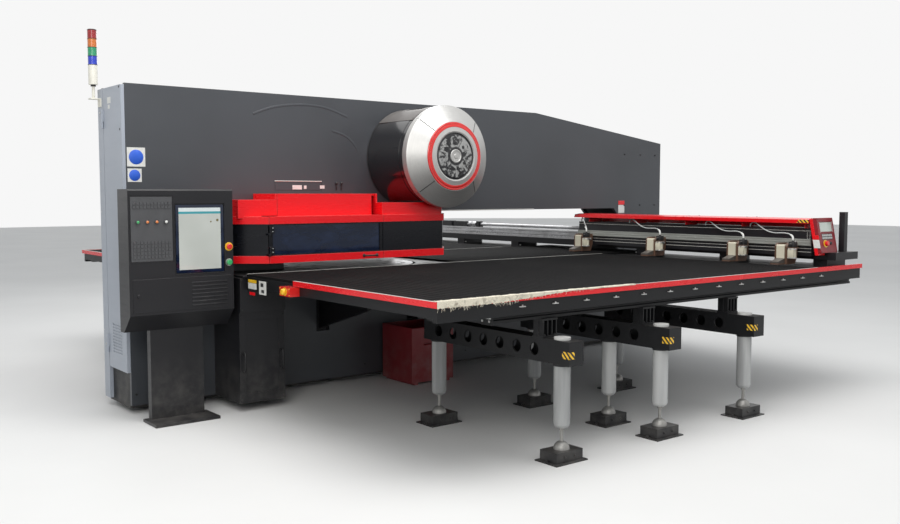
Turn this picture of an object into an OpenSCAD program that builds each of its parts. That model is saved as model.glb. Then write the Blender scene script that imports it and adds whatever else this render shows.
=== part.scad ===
// Bridge-frame turret punch press: a closed steel frame with a servo ram, two turrets behind a
// guard, brush tables that travel with the carriage base, and a carriage with four work clamps.
// X runs along the bridge from its left end, Y runs across it from its middle, and Z is up.

/* [Bridge] */
// Length of the bridge from end to end
bridge_len = 5830; // [5500:10:6200]
// Height of the level part of the bridge's top
bridge_h = 2340; // [2280:10:2500]
// Height of the bridge's right end, where the top has sloped down
bridge_right_h = 2107; // [1900:1:2200]
// Distance from the left end to where the top starts to slope
knee_x = 3970; // [3600:10:4400]
// Depth of the welded frame between its covers
frame_depth = 420; // [380:10:460]
// Thickness of the formed covers on the front and the back
cover_t = 30; // [20:1:36]
// Rise of the covers above the frame's own top
cover_rise = 10; // [4:1:20]
// Left side of the throat, behind the turrets
throat_left = 1250; // [1180:5:1260]
// Right side of the throat, at the right-hand column
throat_right = 5160; // [5140:5:5250]
// Height of the throat's floor
throat_floor = 800; // [760:5:810]
// Height of the covers' lower edge over the throat
throat_roof = 1420; // [1410:5:1440]
// How far the covers hang below the frame over the throat
cover_lip = 20; // [5:1:30]
// Corner cut at the top right of the throat
throat_chamfer = 70; // [40:5:120]
// Height of the skirt's lower edge above the floor
skirt_gap = 60; // [45:5:80]
// Height of the pads that the frame stands on
pad_h = 40; // [30:1:44]
// Radius of the pads that the frame stands on
pad_r = 90; // [70:5:100]
// Places of the pads along the bridge
pad_x = [300, 1100, 4100, 5500];
// Distance of the pads from the bridge's middle plane
pad_y = 110; // [90:5:115]

/* [Cabinet end] */
// Thickness of the cabinet door and of the strip beside it
door_t = 25; // [18:1:32]
// Width of the cabinet door
cab_door_w = 368; // [320:1:372]
// Height of the cabinet door's lower edge
cab_door_z = 300; // [200:10:400]
// Gap between the cabinet door's top and the top of the bridge
cab_door_top_gap = 12; // [8:1:30]
// Width of the strip behind the door
strip_w = 106; // [96:1:108]
// Depth of the recess for controls behind the cabinet door
recess_depth = 160; // [80:5:240]
// Radius of the cabinet door's hinge pins
hinge_r = 8; // [6:0.5:10]
// Length of each hinge knuckle
hinge_len = 90; // [60:5:120]

/* [Signal tower] */
// Radius of the signal tower's lenses
lens_r = 32; // [26:1:38]
// Height of each lens
lens_h = 62; // [50:1:70]
// Height of the tower's base
beacon_base_h = 142; // [120:1:160]
// Height of the base's lower end above the bridge's top
beacon_rise = 18; // [12:1:40]
// Distance of the tower's axis from the left end of the bridge
beacon_out = 46; // [42:1:60]
// Radius of the tube under the tower
beacon_pole_r = 11; // [8:1:14]
// Length of the tube under the tower
beacon_pole_len = 98; // [80:1:120]

/* [Ram and motors] */
// Distance from the left end to the punching axis
punch_x = 2446; // [2440:1:2450]
// Height of the motor housings' axis
motor_z = 1870; // [1860:5:1885]
// Radius of a motor housing
motor_r = 405; // [380:1:412]
// How far a motor housing stands out of the cover
motor_depth = 500; // [480:5:505]
// Height of the flat under a motor housing
motor_flat_z = 1512; // [1508:1:1530]
// Radius of the bezel's rim
bezel_r = 413; // [406:1:420]
// Width of the bezel's straight rim
bezel_rim = 70; // [50:1:90]
// Depth of the bezel's cone
bezel_cone = 85; // [60:1:100]
// Outer radius of the coloured ring
ring_r = 273; // [260:1:280]
// Width of the coloured ring
ring_w = 18; // [12:1:24]
// Radius of the hub disc
hub_r = 187; // [170:1:200]
// Radius of the ram's striker
ram_r = 42; // [36:0.5:48]
// Stroke of the ram
stroke = 37; // [30:1:37]
// Depth of the ram's bore in the frame
ram_bore = 260; // [220:5:300]

/* [Turrets] */
// Radius of the turret discs
turret_r = 620; // [600:1:622]
// Distance from the turrets' axis to the punching axis
turret_reach = 530; // [526:1:534]
// Thickness of the upper turret
upper_t = 120; // [100:1:130]
// Height of the upper turret's lower face
upper_z = 1160; // [1155:1:1170]
// Thickness of the lower turret
lower_t = 125; // [110:1:130]
// Height of the lower turret's upper face
lower_top = 985; // [980:1:988]
// Radius of the turrets' shafts
turret_shaft_r = 90; // [70:1:110]
// Depth of each shaft's bore in the frame
turret_bore = 160; // [120:5:200]
// Stations in the outer ring
outer_stations = 20; // [16:1:22]
// Stations in the inner ring
inner_stations = 14; // [10:1:16]
// Radius of an outer station's tool
tool_r = 26; // [18:1:32]
// Height of a punch head above the upper turret
punch_head = 30; // [20:1:32]
// Length of a punch below the upper turret
punch_tail = 60; // [40:1:70]

/* [Turret guard] */
// How far the guard stands out of the covers
guard_out = 450; // [440:5:460]
// Left end of the guard where it meets the cover
guard_left = 330; // [325:5:345]
// Left front corner of the guard
guard_corner = 885; // [875:5:900]
// Seam between the guard's door and its fixed right part
guard_seam = 1888; // [1880:1:1896]
// Right front corner of the guard
guard_right = 2480; // [2475:5:2500]
// Right end of the guard where it meets the cover
guard_end = 2640; // [2630:5:2655]
// Thickness of the guard's panels
guard_t = 25; // [16:1:28]
// How far the coloured lips stand out
lip_out = 12; // [6:1:16]
// Height of the guard's lower edge
guard_z = 1065; // [1060:1:1075]
// Height of each coloured lip
lip_h = 54; // [40:1:60]
// Height of the upper lip's lower edge
upper_lip_z = 1350; // [1340:1:1360]
// Height of the guard's tall hood
hood_z = 1570; // [1550:1:1580]
// Height of the guard's right hood
right_hood_z = 1500; // [1490:1:1502]
// Height of the low hood at the left of the tall one
low_hood_z = 1525; // [1510:1:1535]
// Left end of the low hood
low_hood_left = 700; // [690:1:715]
// Step between the low hood and the tall hood
hood_step = 1011; // [1000:1:1025]
// Right end of the tall hood
hood_end = 1846; // [1830:1:1856]
// Setback of the hoods behind the lips
hood_setback = 100; // [70:1:110]
// Width of the frame round the door's window
window_frame = 30; // [26:1:60]
// Thickness of the door's window
pane_t = 6; // [4:0.5:8]
// Gap round the guard's door
door_gap = 5; // [3:1:8]
// Radius of the door's hinge knuckles
guard_pin_r = 7; // [5:0.5:9]

/* [Tables] */
// Height of the brush tops, which the sheet lies on
table_z = 1000; // [996:1:1001]
// Left edge of the travelling tables
table_left = 700; // [680:5:760]
// Right edge of the brushes, beside the carriage
brush_right = 4400; // [4380:5:4410]
// Distance of the tables' outer edges from the middle of the bridge
table_reach = 2940; // [2900:5:2960]
// Gap between a travelling table and the centre table
table_gap = 22; // [15:1:30]
// Thickness of a table's deck
deck_t = 12; // [8:1:16]
// Height of the brushes
brush_h = 16; // [12:1:20]
// Pitch of the brush strips
brush_pitch = 60; // [50:1:80]
// Gap between brush strips
brush_slot = 6; // [4:1:10]
// Depth of the gap between brush strips
brush_slot_depth = 5; // [3:1:8]
// Width of a deck's ribs
rib_w = 40; // [30:1:60]
// Height of the rails under the travelling tables
rail_h = 50; // [40:1:60]
// Width of the rails under the travelling tables
rail_w = 60; // [40:1:80]
// Height of the rails' lower faces
rail_z = 835; // [830:1:842]
// Left end of the rails
rail_left = 1150; // [1100:5:1250]
// Thickness of the coloured edge strip
trim_t = 18; // [12:1:24]
// Height of the coloured edge strip
trim_h = 34; // [24:1:40]
// Length of the coloured strip along the left edge
trim_side_len = 1530; // [1300:10:1800]

/* [Supports] */
// Places of the support beams along the bridge
support_x = [1600, 2500, 3420];
// Distance of the rails from the tables' outer edge
rail_inset = 130; // [120:5:150]
// How far the support beams reach past the tables' edge
beam_over = 130; // [100:5:150]
// Length of a support beam
beam_len = 1380; // [1350:5:1450]
// Height of a support beam's lower face
beam_z = 578; // [560:1:600]
// Height of a support beam
beam_h = 142; // [120:1:160]
// Width of a support beam
beam_w = 120; // [100:1:140]
// Wall of a support beam
beam_wall = 12; // [8:1:16]
// Radius of the holes in a support beam
beam_hole_r = 38; // [30:1:44]
// Pitch of the holes in a support beam
beam_hole_pitch = 155; // [140:1:180]
// Radius of a leg
leg_r = 50; // [40:1:56]
// Height of a leg's lower end
leg_z = 200; // [180:1:230]
// Distance of the front leg from the beam's end
leg_end_gap = 115; // [100:1:130]
// Distance between a beam's two legs
leg_span = 1175; // [1150:5:1190]
// Radius of a levelling screw
screw_r = 10; // [8:0.5:13]
// Radius of a levelling foot's dome
dome_r = 49; // [40:1:52]
// Height of a foot block
block_h = 62; // [50:1:70]
// Length of a foot block along X
block_w = 215; // [180:5:230]
// Length of a foot block along Y
block_d = 140; // [120:5:160]
// Thickness of the plate under a foot block
sole_t = 8; // [5:0.5:12]
// How far the plate stands out round a foot block
sole_rim = 22; // [10:1:30]

/* [Carriage] */
// Left face of the carriage base beam
base_left = 4720; // [4715:1:4730]
// Right face of the carriage base beam
base_right = 5060; // [5040:1:5065]
// Height of the base beam's lower face
base_z = 1040; // [1035:1:1045]
// Height of the base beam
base_h = 60; // [50:1:62]
// Distance of the base beam's ends from the middle of the bridge
base_reach = 2900; // [2890:5:2920]
// Width of the guide beam on the base
guide_w = 76; // [60:1:80]
// Height of the guide beam
guide_h = 85; // [75:1:86]
// Radius of the ball screw
ball_r = 18; // [14:0.5:20]
// Height of the ball screw's axis
ball_z = 1216; // [1214:1:1218]
// Y of the ball screw's motor end
ball_rear = 1540; // [1530:5:1560]
// Length of the saddle and its cover
saddle_len = 2555; // [2500:5:2560]
// Rear end of the saddle at rest
saddle_rear = -170; // [-180:5:-165]
// Travel of the saddle along the base
saddle_travel = 3050; // [3000:10:3050]
// Left face of the saddle's front plate
saddle_left = 4654; // [4650:1:4658]
// Thickness of the bar that the clamps are bolted to
clamp_bar_t = 14; // [10:1:18]
// Width of the red cover and of the end cap under it
cover_w = 244; // [230:1:260]
// Thickness of the saddle's front plate
saddle_t = 40; // [34:1:44]
// Height of the saddle's top plate
saddle_top = 1290; // [1286:1:1295]
// Thickness of the saddle's top plate
saddle_plate = 30; // [24:1:32]
// Height of the red cover's top
cover_top = 1370; // [1360:1:1378]
// Height of the red cover's front edge
cover_edge = 30; // [24:1:40]
// Thickness of the red cover's sheet
cover_sheet = 4; // [3:0.5:6]
// Thickness of the end cap
end_plate = 28; // [24:1:30]
// Thickness of the control panel on the end cap
control_t = 30; // [29:1:34]
// Lean of the end cap and the control panel, in mm for each mm of height
end_lean = 0.2; // [0.1:0.02:0.24]
// Places of the feet that join the base to the tables, from the middle of the bridge
base_foot_y = [900, 1850, 2750];
// Side of the post on the base's front end
post_w = 48; // [40:1:60]
// Distance of the post's left side from the base's right face
post_inset = 162; // [140:1:190]
// Height of the post's top
post_top = 1422; // [1380:1:1440]

/* [Clamps] */
// Places of the clamps' middles along Y
clamp_y = [-315, -1225, -2100, -2557];
// Width of a clamp between its side plates' outer faces
clamp_w = 112; // [100:1:130]
// Thickness of a clamp's side plates
cheek_t = 20; // [14:1:24]
// Depth of a clamp in front of the saddle
clamp_depth = 150; // [130:1:155]
// Height of a clamp's top
clamp_top = 1172; // [1164:1:1180]
// Height of the lower jaw's lower face above the brushes
jaw_lift = 3; // [2:0.5:5]
// Thickness of the lower jaw
jaw_t = 10; // [8:0.5:12]
// Reach of the jaws beyond a clamp's side plates
jaw_reach = 90; // [60:1:95]
// Radius of a jaw's pivot pin
jaw_pin_r = 8; // [6:0.5:10]
// Width of a clamp's air cylinder
cylinder_w = 66; // [56:1:68]
// Length of a clamp's air cylinder
cylinder_h = 82; // [70:1:90]
// Height of the valve on a clamp's air cylinder
valve_h = 42; // [34:1:46]
// Radius of the air hoses
hose_r = 5; // [4:0.5:6]

/* [Console] */
// Left side of the console
console_left = -130; // [-150:5:-125]
// Width of the console
console_w = 740; // [700:5:740]
// Front face of the console, from the middle of the bridge
console_front = 690; // [685:1:692]
// Depth of the console
console_d = 190; // [160:1:190]
// Height of the console's top
console_top = 1600; // [1560:5:1640]
// Height of the console's lower edge
console_z = 640; // [600:5:700]
// Width of the console's foot
console_foot_w = 380; // [320:5:420]
// Radius of the emergency stop heads
estop_r = 20; // [16:1:24]
// Travel of the push buttons
button_travel = 4; // [3:0.5:5]

/* [Base cover] */
// Left side of the base cover
base_cover_left = 660; // [630:5:680]
// Width of the base cover
base_cover_w = 360; // [320:5:380]
// Height of the ledge where the base cover steps forward
base_cover_step = 720; // [680:5:760]
// Depth of the base cover's step
base_cover_set = 20; // [10:1:30]

/* [Scrap bin] */
// Left side of the scrap bin
bin_left = 2170; // [2150:5:2200]
// Width of the scrap bin
bin_w = 430; // [400:5:440]
// Depth of the scrap bin
bin_d = 420; // [380:5:425]
// Height of the scrap bin
bin_h = 450; // [400:5:460]
// Wall of the scrap bin
bin_wall = 4; // [3:0.5:6]

/* [Fit] */
// Radial clearance of pins and shafts that turn
run_fit = 0.05; // [0.02:0.01:0.1]
// Gap between pieces that slide past each other
slide_gap = 0.3; // [0.2:0.05:1]
// Gap round pieces that pass each other freely
free_gap = 2; // [1:0.5:4]

/* [Hidden] */
$fn = 96;

frame_front = -frame_depth / 2;
face_front = frame_front - cover_t;
guard_front = face_front - guard_out;
turret_x = punch_x - turret_reach;
x_mid = (console_left + bridge_len) / 2;
shade = [0.22, 0.23, 0.25];
black = [0.06, 0.06, 0.07];
red = [0.80, 0.10, 0.09];

function unit(v) = v / norm(v);
function left_of(a, b) = let (u = unit(b - a)) [-u[1], u[0]];
// A path moved sideways by d to its left, with mitred corners
function shifted(path, d) = [
    for (i = [0 : len(path) - 1])
        let (n0 = left_of(path[max(i - 1, 0)], path[max(i, 1)]),
             n1 = left_of(path[min(i, len(path) - 2)], path[min(i + 1, len(path) - 1)]),
             m = unit(n0 + n1))
        path[i] + m * d / (m * n0)];
function reversed(path) = [for (i = [len(path) - 1 : -1 : 0]) path[i]];

module placed() translate([-x_mid, 0, 0]) children();
module rear_side() mirror([0, 1, 0]) children();
module box(x0, x1, y0, y1, z0, z1) translate([x0, y0, z0]) cube([x1 - x0, y1 - y0, z1 - z0]);
// A guard wall that stands on a plan path, between two sideways distances and two heights
module wall(path, d0, d1, z0, z1)
    translate([0, 0, z0]) linear_extrude(z1 - z0) intersection() {
        polygon(concat(shifted(path, d0), reversed(shifted(path, d1))));
        translate([0, guard_front - 100]) square([bridge_len, guard_out + 100]);
    }
// A guard roof inside a plan path
module roof(path, d, z0, z1)
    translate([0, 0, z0]) linear_extrude(z1 - z0) intersection() {
        polygon(shifted(path, d));
        translate([0, guard_front - 100]) square([bridge_len, guard_out + 100]);
    }
// A profile drawn as X and Z, between two distances along Y
module across(y0, y1) translate([0, y1, 0]) rotate([90, 0, 0]) linear_extrude(y1 - y0) children();
// A profile drawn as Y and Z, between two distances along X
module along(x0, x1)
    translate([x0, 0, 0]) rotate([90, 0, 90]) linear_extrude(x1 - x0) children();
// A round bar along Y
module bar_y(x, z, r, y0, y1) translate([x, y1, z]) rotate([90, 0, 0]) cylinder(r = r, h = y1 - y0);

// The bridge
frame_left = door_t + free_gap;
frame_roof = throat_roof + cover_lip;
module bridge_outline(left, low, drop)
    polygon([[left, low], [bridge_len, low], [bridge_len, bridge_right_h - drop],
             [knee_x, bridge_h - drop], [left, bridge_h - drop]]);
module throat_outline(roof)
    polygon([[throat_left, throat_floor], [throat_right, throat_floor],
             [throat_right, roof - throat_chamfer], [throat_right - throat_chamfer, roof],
             [throat_left, roof]]);
module bracket_profile(reach)
    polygon([[frame_front, throat_floor - 320], [frame_front, throat_floor - 30],
             [-reach, throat_floor - 30], [-reach, throat_floor - 110]]);
inner_rail_y = guard_front - table_gap - 150;
module bridge_frame() color(shade) {
    difference() {
        union() {
            across(frame_front, -frame_front) difference() {
                bridge_outline(frame_left, pad_h, cover_rise);
                throat_outline(frame_roof);
            }
            for (x = support_x, side = [0, 1]) mirror([0, side, 0]) {
                along(x - 20, x + 20) bracket_profile(-inner_rail_y + 60);
                box(x - 45, x + 45, inner_rail_y - 60, inner_rail_y + 60,
                    throat_floor - 30, rail_z - slide_gap);
            }
            for (x = pad_x, y = [-pad_y, pad_y])
                translate([x, y, 0]) cylinder(r = pad_r, h = pad_h);
            // Guides that the scrap bin's runners slide along
            for (x = [bin_left + 70 + slide_gap, bin_left + bin_w - 70 - slide_gap - 12]) {
                box(x, x + 12, bin_front + 30, frame_front + 60, 0, 14);
                box(x, x + 12, frame_front + 10, frame_front + 60, 0, pad_h + 1);
            }
        }
        box(frame_left - 1, frame_left + recess_depth, frame_front + 40, 70,
            cab_door_z + 50, cab_door_top - 90);
        translate([turret_x, 0, frame_roof - 1])
            cylinder(r = turret_shaft_r + run_fit, h = turret_bore + 1);
        translate([turret_x, 0, throat_floor - turret_bore])
            cylinder(r = turret_shaft_r + run_fit, h = turret_bore + 1);
        translate([punch_x, 0, frame_roof - 1]) cylinder(r = ram_r + run_fit, h = ram_bore + 1);
    }
}
cover_slots = [for (x = support_x) [x - 60, x + 60]];
module bridge_cover() difference() {
    across(face_front, frame_front) difference() {
        bridge_outline(frame_left, skirt_gap, 0);
        throat_outline(throat_roof);
    }
    for (s = cover_slots)
        box(s[0], s[1], face_front - 1, frame_front + 1, throat_floor - 340, throat_floor + 1);
}
module front_cover() color([0.25, 0.27, 0.30]) difference() {
    bridge_cover();
    // Access hatch over the guard, let in by a shadow groove
    translate([0, face_front, 0]) difference() {
        box(1180, 1600, -1, 3, 1592, 1668);
        box(1186, 1594, -2, 4, 1598, 1662);
    }
}
module rear_cover() color([0.25, 0.27, 0.30]) rear_side() bridge_cover();

// The cabinet end
strip_front = -face_front - strip_w;
cab_door_front = face_front;
cab_door_rear = cab_door_front + cab_door_w;
cab_door_top = bridge_h - cab_door_top_gap;
cab_hinge = [-hinge_r, cab_door_rear];
module cabinet_pins() for (z = [cab_door_z + 150, cab_door_top - 150 - hinge_len])
    translate([cab_hinge[0], cab_hinge[1], z]) children();
module end_strip() color([0.66, 0.69, 0.73]) {
    difference() {
        box(0, frame_left, strip_front, -face_front, skirt_gap, cab_door_top);
        for (z = [cab_door_top - 14 : -292 : 500])
            translate([-1, -face_front - 20, z]) rotate([0, 90, 0]) cylinder(r = 6, h = 4);
    }
    cabinet_pins() {
        translate([0, 0, -hinge_len / 2]) cylinder(r = hinge_r * 0.5, h = hinge_len * 1.5 - 6);
        translate([0, 0, -hinge_len / 2]) cylinder(r = hinge_r, h = hinge_len / 2 - slide_gap);
        translate([0, 0, -hinge_len / 2]) cube([hinge_r + 1, 14, hinge_len / 2 - slide_gap]);
    }
}
module cabinet_door() color([0.66, 0.69, 0.73]) difference() {
    union() {
        box(0, door_t, cab_door_front, cab_door_rear - free_gap, cab_door_z, cab_door_top);
        cabinet_pins() {
            cylinder(r = hinge_r, h = hinge_len);
            translate([0, -14, 0]) cube([hinge_r + 1, 12, hinge_len]);
        }
    }
    cabinet_pins() translate([0, 0, -1])
        cylinder(r = hinge_r * 0.5 + run_fit, h = hinge_len + 2);
    // Latch recesses along the front edge and louvres low on the door
    for (z = [cab_door_top - 14, cab_door_top - 309, cab_door_z + 420])
        translate([-1, cab_door_front + 32, z]) rotate([0, 90, 0]) cylinder(r = 9, h = 6);
    for (i = [0 : 9])
        box(-1, 5, cab_door_front + 90, cab_door_rear - 90,
            cab_door_z + 120 + 22 * i, cab_door_z + 130 + 22 * i);
}

// The signal tower
beacon_y = strip_front + strip_w / 2;
beacon_z = bridge_h + beacon_rise;
module on_tower(z) translate([-beacon_out, beacon_y, z]) children();
module lens(i) on_tower(beacon_z + beacon_base_h + i * lens_h) difference() {
    cylinder(r = lens_r, h = lens_h);
    for (z = [8 : 9 : lens_h - 8])
        translate([0, 0, z]) rotate_extrude() translate([lens_r, 0]) circle(r = 1.2, $fn = 24);
}
module beacon_base() color([0.85, 0.84, 0.78]) {
    on_tower(beacon_z) cylinder(r = lens_r, h = beacon_base_h);
    on_tower(beacon_z - beacon_pole_len) cylinder(r = beacon_pole_r, h = beacon_pole_len);
    box(-beacon_out - 30, 0, beacon_y - 30, beacon_y + 30,
        beacon_z - beacon_pole_len - 8, beacon_z - beacon_pole_len);
    box(-8, 0, beacon_y - 30, beacon_y + 30,
        beacon_z - beacon_pole_len - 60, beacon_z - beacon_pole_len);
}
module beacon_blue() color([0.15, 0.25, 0.85]) lens(0);
module beacon_green() color([0.10, 0.65, 0.40]) lens(1);
module beacon_orange() color([0.85, 0.45, 0.15]) lens(2);
module beacon_red() color([0.60, 0.12, 0.12]) lens(3);

// The motor housings and the bezel
module at_motor(y) translate([punch_x, y, motor_z]) rotate([90, 0, 0]) children();
module motor_shell() difference() {
    intersection() {
        at_motor(face_front) union() {
            cylinder(r = motor_r, h = motor_depth);
            translate([0, 0, motor_depth * 0.3]) cylinder(r = motor_r + 3, h = motor_depth * 0.6);
        }
        box(punch_x - 600, punch_x + 600, face_front - motor_depth, face_front,
            motor_flat_z, motor_z + 600);
    }
    // Vent slots through the top panel
    for (a = [-14, 10]) translate([punch_x, face_front - motor_depth * 0.55, motor_z])
        rotate([0, a, 0]) box(-26, 26, -110, 110, motor_r - 18, motor_r + 20);
}
module motor_housing_front() color(black) motor_shell();
module motor_housing_rear() color(black) rear_side() {
    motor_shell();
    at_motor(face_front - motor_depth) cylinder(r1 = motor_r, r2 = ring_r, h = bezel_cone);
}
bezel_back = face_front - motor_depth;
cone_foot = bezel_rim;
cone_top = bezel_rim + bezel_cone;
module bezel_front() color([0.72, 0.72, 0.72]) at_motor(bezel_back) difference() {
    rotate_extrude() polygon([
        [0, 0], [bezel_r - 8, 0], [bezel_r, 10], [bezel_r, cone_foot - 6],
        [bezel_r - 8, cone_foot], [ring_r + 4, cone_top], [ring_r + 0.5, cone_top],
        [ring_r + 0.5, cone_top - 14], [ring_r - ring_w - 0.5, cone_top - 14],
        [ring_r - ring_w - 0.5, cone_top + 6], [hub_r + 12, cone_top + 18],
        [hub_r + 1, cone_top + 14], [hub_r + 1, cone_top - 10], [0, cone_top - 10]]);
    for (a = [45 : 90 : 315]) rotate([0, 0, a])
        box(ring_r + 12, bezel_r + 2, -2, 2, cone_foot - 40, cone_top + 1);
}
module bezel_ring() color(red) at_motor(bezel_back) rotate_extrude() polygon([
    [ring_r - ring_w, cone_top - 14], [ring_r, cone_top - 14], [ring_r, cone_top + 2],
    [ring_r - 4, cone_top + 6], [ring_r - ring_w, cone_top + 6]]);
module bezel_hub() color(black) at_motor(bezel_back) difference() {
    rotate_extrude() polygon([[0, cone_top - 10], [hub_r, cone_top - 10], [hub_r, cone_top + 6],
        [hub_r - 20, cone_top + 12], [90, cone_top + 17], [0, cone_top + 18]]);
    for (a = [0 : 10 : 350]) rotate([0, 0, a])
        box(96, hub_r - 22, -1.5, 1.5, cone_top + 11, cone_top + 30);
}

// The turrets, their tools and the ram
inner_ring_r = turret_reach - 130;
module stations(n, ring) for (i = [0 : n - 1])
    rotate([0, 0, 360 * i / n]) translate([ring, 0, 0]) children();
module tool_holes(z0, h) translate([0, 0, z0]) {
    stations(outer_stations, turret_reach) cylinder(r = tool_r + free_gap, h = h, $fn = 48);
    stations(inner_stations, inner_ring_r) cylinder(r = tool_r + free_gap, h = h, $fn = 48);
}
module upper_turret() color([0.55, 0.56, 0.58]) translate([turret_x, 0, 0]) difference() {
    union() {
        translate([0, 0, upper_z]) cylinder(r = turret_r, h = upper_t, $fn = 180);
        translate([0, 0, upper_z + upper_t]) cylinder(r = 230, h = 40);
        translate([0, 0, upper_z + upper_t])
            cylinder(r = turret_shaft_r, h = frame_roof + turret_bore - 8 - upper_z - upper_t);
    }
    tool_holes(upper_z - 1, upper_t + 2);
    for (i = [0 : 71]) rotate([0, 0, 5 * i])
        translate([turret_r, 0, upper_z + upper_t - 24]) cylinder(r = 9, h = 30, $fn = 24);
}
module punch() {
    translate([0, 0, upper_z - punch_tail]) cylinder(r = tool_r * 0.55, h = punch_tail + 8);
    translate([0, 0, upper_z]) cylinder(r = tool_r, h = upper_t);
    translate([0, 0, upper_z + upper_t]) cylinder(r = tool_r + 6, h = punch_head);
}
module punch_set() color([0.70, 0.68, 0.62]) translate([turret_x, 0, 0]) {
    stations(outer_stations, turret_reach) punch($fn = 32);
    stations(inner_stations, inner_ring_r) punch($fn = 32);
}
module lower_turret() color([0.50, 0.51, 0.53]) translate([turret_x, 0, 0]) difference() {
    union() {
        translate([0, 0, lower_top - lower_t]) cylinder(r = turret_r, h = lower_t, $fn = 180);
        translate([0, 0, throat_floor - turret_bore + 8])
            cylinder(r = turret_shaft_r, h = lower_top - lower_t - throat_floor + turret_bore - 7);
    }
    tool_holes(lower_top - lower_t - 1, lower_t + 2);
    for (i = [0 : 71]) rotate([0, 0, 5 * i])
        translate([turret_r, 0, lower_top - lower_t - 6]) cylinder(r = 9, h = 30, $fn = 24);
}
striker_z = upper_z + upper_t + punch_head + stroke + 1;
module ram() color([0.62, 0.63, 0.65]) translate([punch_x, 0, 0]) {
    translate([0, 0, striker_z]) cylinder(r = ram_r, h = frame_roof + ram_bore - 10 - striker_z);
    translate([0, 0, striker_z]) cylinder(r = ram_r + 8, h = 26);
}

// The turret guard: its plan paths start and end inside the bridge
wing = [guard_left - 0.4 * (guard_corner - guard_left), face_front + 0.4 * guard_out];
main_path = [wing, [guard_corner, guard_front], [guard_seam, guard_front]];
door_path = [[guard_corner + door_gap, guard_front], [guard_seam, guard_front]];
right_path = [[guard_seam, guard_front], [guard_right, guard_front],
              [guard_end, guard_front + 200], [guard_end, 0]];
rear_path = concat([wing, [guard_corner, guard_front]],
                   [for (i = [1 : len(right_path) - 1]) right_path[i]]);
lip_top = upper_lip_z + lip_h;
hood_front = guard_front + hood_setback;
module skirt(path, ledge) {
    wall(path, -lip_out, guard_t, guard_z, guard_z + lip_h);
    wall(path, 0, guard_t, guard_z + lip_h, upper_lip_z);
    wall(path, -lip_out, ledge + guard_t, upper_lip_z, lip_top);
}
guard_hinge = [guard_corner + door_gap, guard_front - lip_out - guard_pin_r - 2];
knuckle_low = 14;
knuckle_h = 50;
module guard_pins() for (z = [guard_z + lip_h + 16, upper_lip_z - 66])
    translate([guard_hinge[0], guard_hinge[1], z]) children();
module guard_left_panel() color(red) difference() {
    union() {
        intersection() {
            skirt(main_path, hood_setback);
            box(0, guard_corner, guard_front - 60, face_front, guard_z - 1, lip_top);
        }
        // Top of the slanted part, and the low hood that stands on it
        intersection() {
            roof(concat(main_path, [[guard_seam, 0]]), 0, lip_top - 12, lip_top);
            box(0, low_hood_left + guard_t, guard_front, face_front, lip_top - 12, lip_top);
        }
        box(low_hood_left, low_hood_left + guard_t, hood_front, face_front, lip_top - 12,
            low_hood_z);
        box(low_hood_left, guard_corner, hood_front, hood_front + guard_t, lip_top - 12,
            low_hood_z);
        box(guard_corner - 1, hood_step, hood_front, hood_front + guard_t, lip_top + door_gap,
            low_hood_z);
        box(low_hood_left, hood_step, hood_front, face_front, low_hood_z - 15, low_hood_z);
        // Floor of the low hood where it overhangs the slanted part
        translate([0, 0, lip_top - 12]) linear_extrude(12) polygon([[low_hood_left, hood_front],
            [guard_corner - 60, hood_front], [low_hood_left, hood_front + 130]]);
        // Roof and left end of the tall hood, clear of the door
        box(hood_step - 15, hood_step, hood_front, face_front, low_hood_z - 15, hood_z);
        box(hood_step - 15, guard_seam, hood_front + guard_t + free_gap, face_front,
            hood_z - 15, hood_z);
        // Lower knuckles and pins of the door's hinge
        guard_pins() {
            translate([0, 0, -knuckle_low]) cylinder(r = guard_pin_r / 2, h = knuckle_low + knuckle_h);
            translate([0, 0, -knuckle_low]) cylinder(r = guard_pin_r, h = knuckle_low - slide_gap);
            translate([-guard_pin_r - 11, -3, -knuckle_low])
                cube([guard_pin_r + 7, guard_pin_r + lip_out + 22, knuckle_low - slide_gap]);
        }
    }
    // Grip recess in the slanted panel
    translate([guard_corner - 190, guard_front + 160, 1190]) rotate([0, 0, -39])
        box(-22, 22, -40, 12, 0, 90);
}
module window_hole() box(guard_corner + door_gap + window_frame,
    guard_seam - door_gap - window_frame, guard_front - 1, guard_front + guard_t + 1,
    guard_z + lip_h + 8, upper_lip_z - 8);
module guard_door() color(red) difference() {
    union() {
        // The free end is curved so that it clears the seam as it swings
        intersection() {
            skirt(door_path, hood_setback);
            translate([guard_hinge[0], guard_hinge[1], guard_z])
                cylinder(r = guard_seam - door_gap - guard_hinge[0], h = hood_z - guard_z,
                         $fn = 360);
        }
        box(hood_step + door_gap, hood_end, hood_front, hood_front + guard_t, lip_top - 1,
            hood_z);
        guard_pins() {
            cylinder(r = guard_pin_r, h = knuckle_h);
            translate([0, -guard_pin_r + 2, 0])
                cube([30, guard_pin_r * 2 + lip_out + 4, knuckle_h]);
        }
    }
    window_hole();
    guard_pins() translate([0, 0, -1])
        cylinder(r = guard_pin_r / 2 + run_fit, h = knuckle_h + 2);
}
module guard_window() color([0.10, 0.14, 0.22, 0.6]) intersection() {
    window_hole();
    box(guard_corner, guard_seam, guard_front + 6, guard_front + 6 + pane_t, guard_z, hood_z);
}
module guard_right_panel() color(red) {
    skirt(right_path, 8);
    wall(right_path, 8, 8 + guard_t, lip_top, right_hood_z);
    roof(concat(right_path, [[guard_seam, 0]]), 8, right_hood_z - 12, right_hood_z);
    // End plate that closes the right hood and the step up to the tall one
    box(guard_seam, guard_seam + 12, guard_front + 8, face_front, lip_top - 1, right_hood_z);
    box(guard_seam, guard_seam + 12, hood_front, face_front, right_hood_z - 1, hood_z);
}
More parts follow.
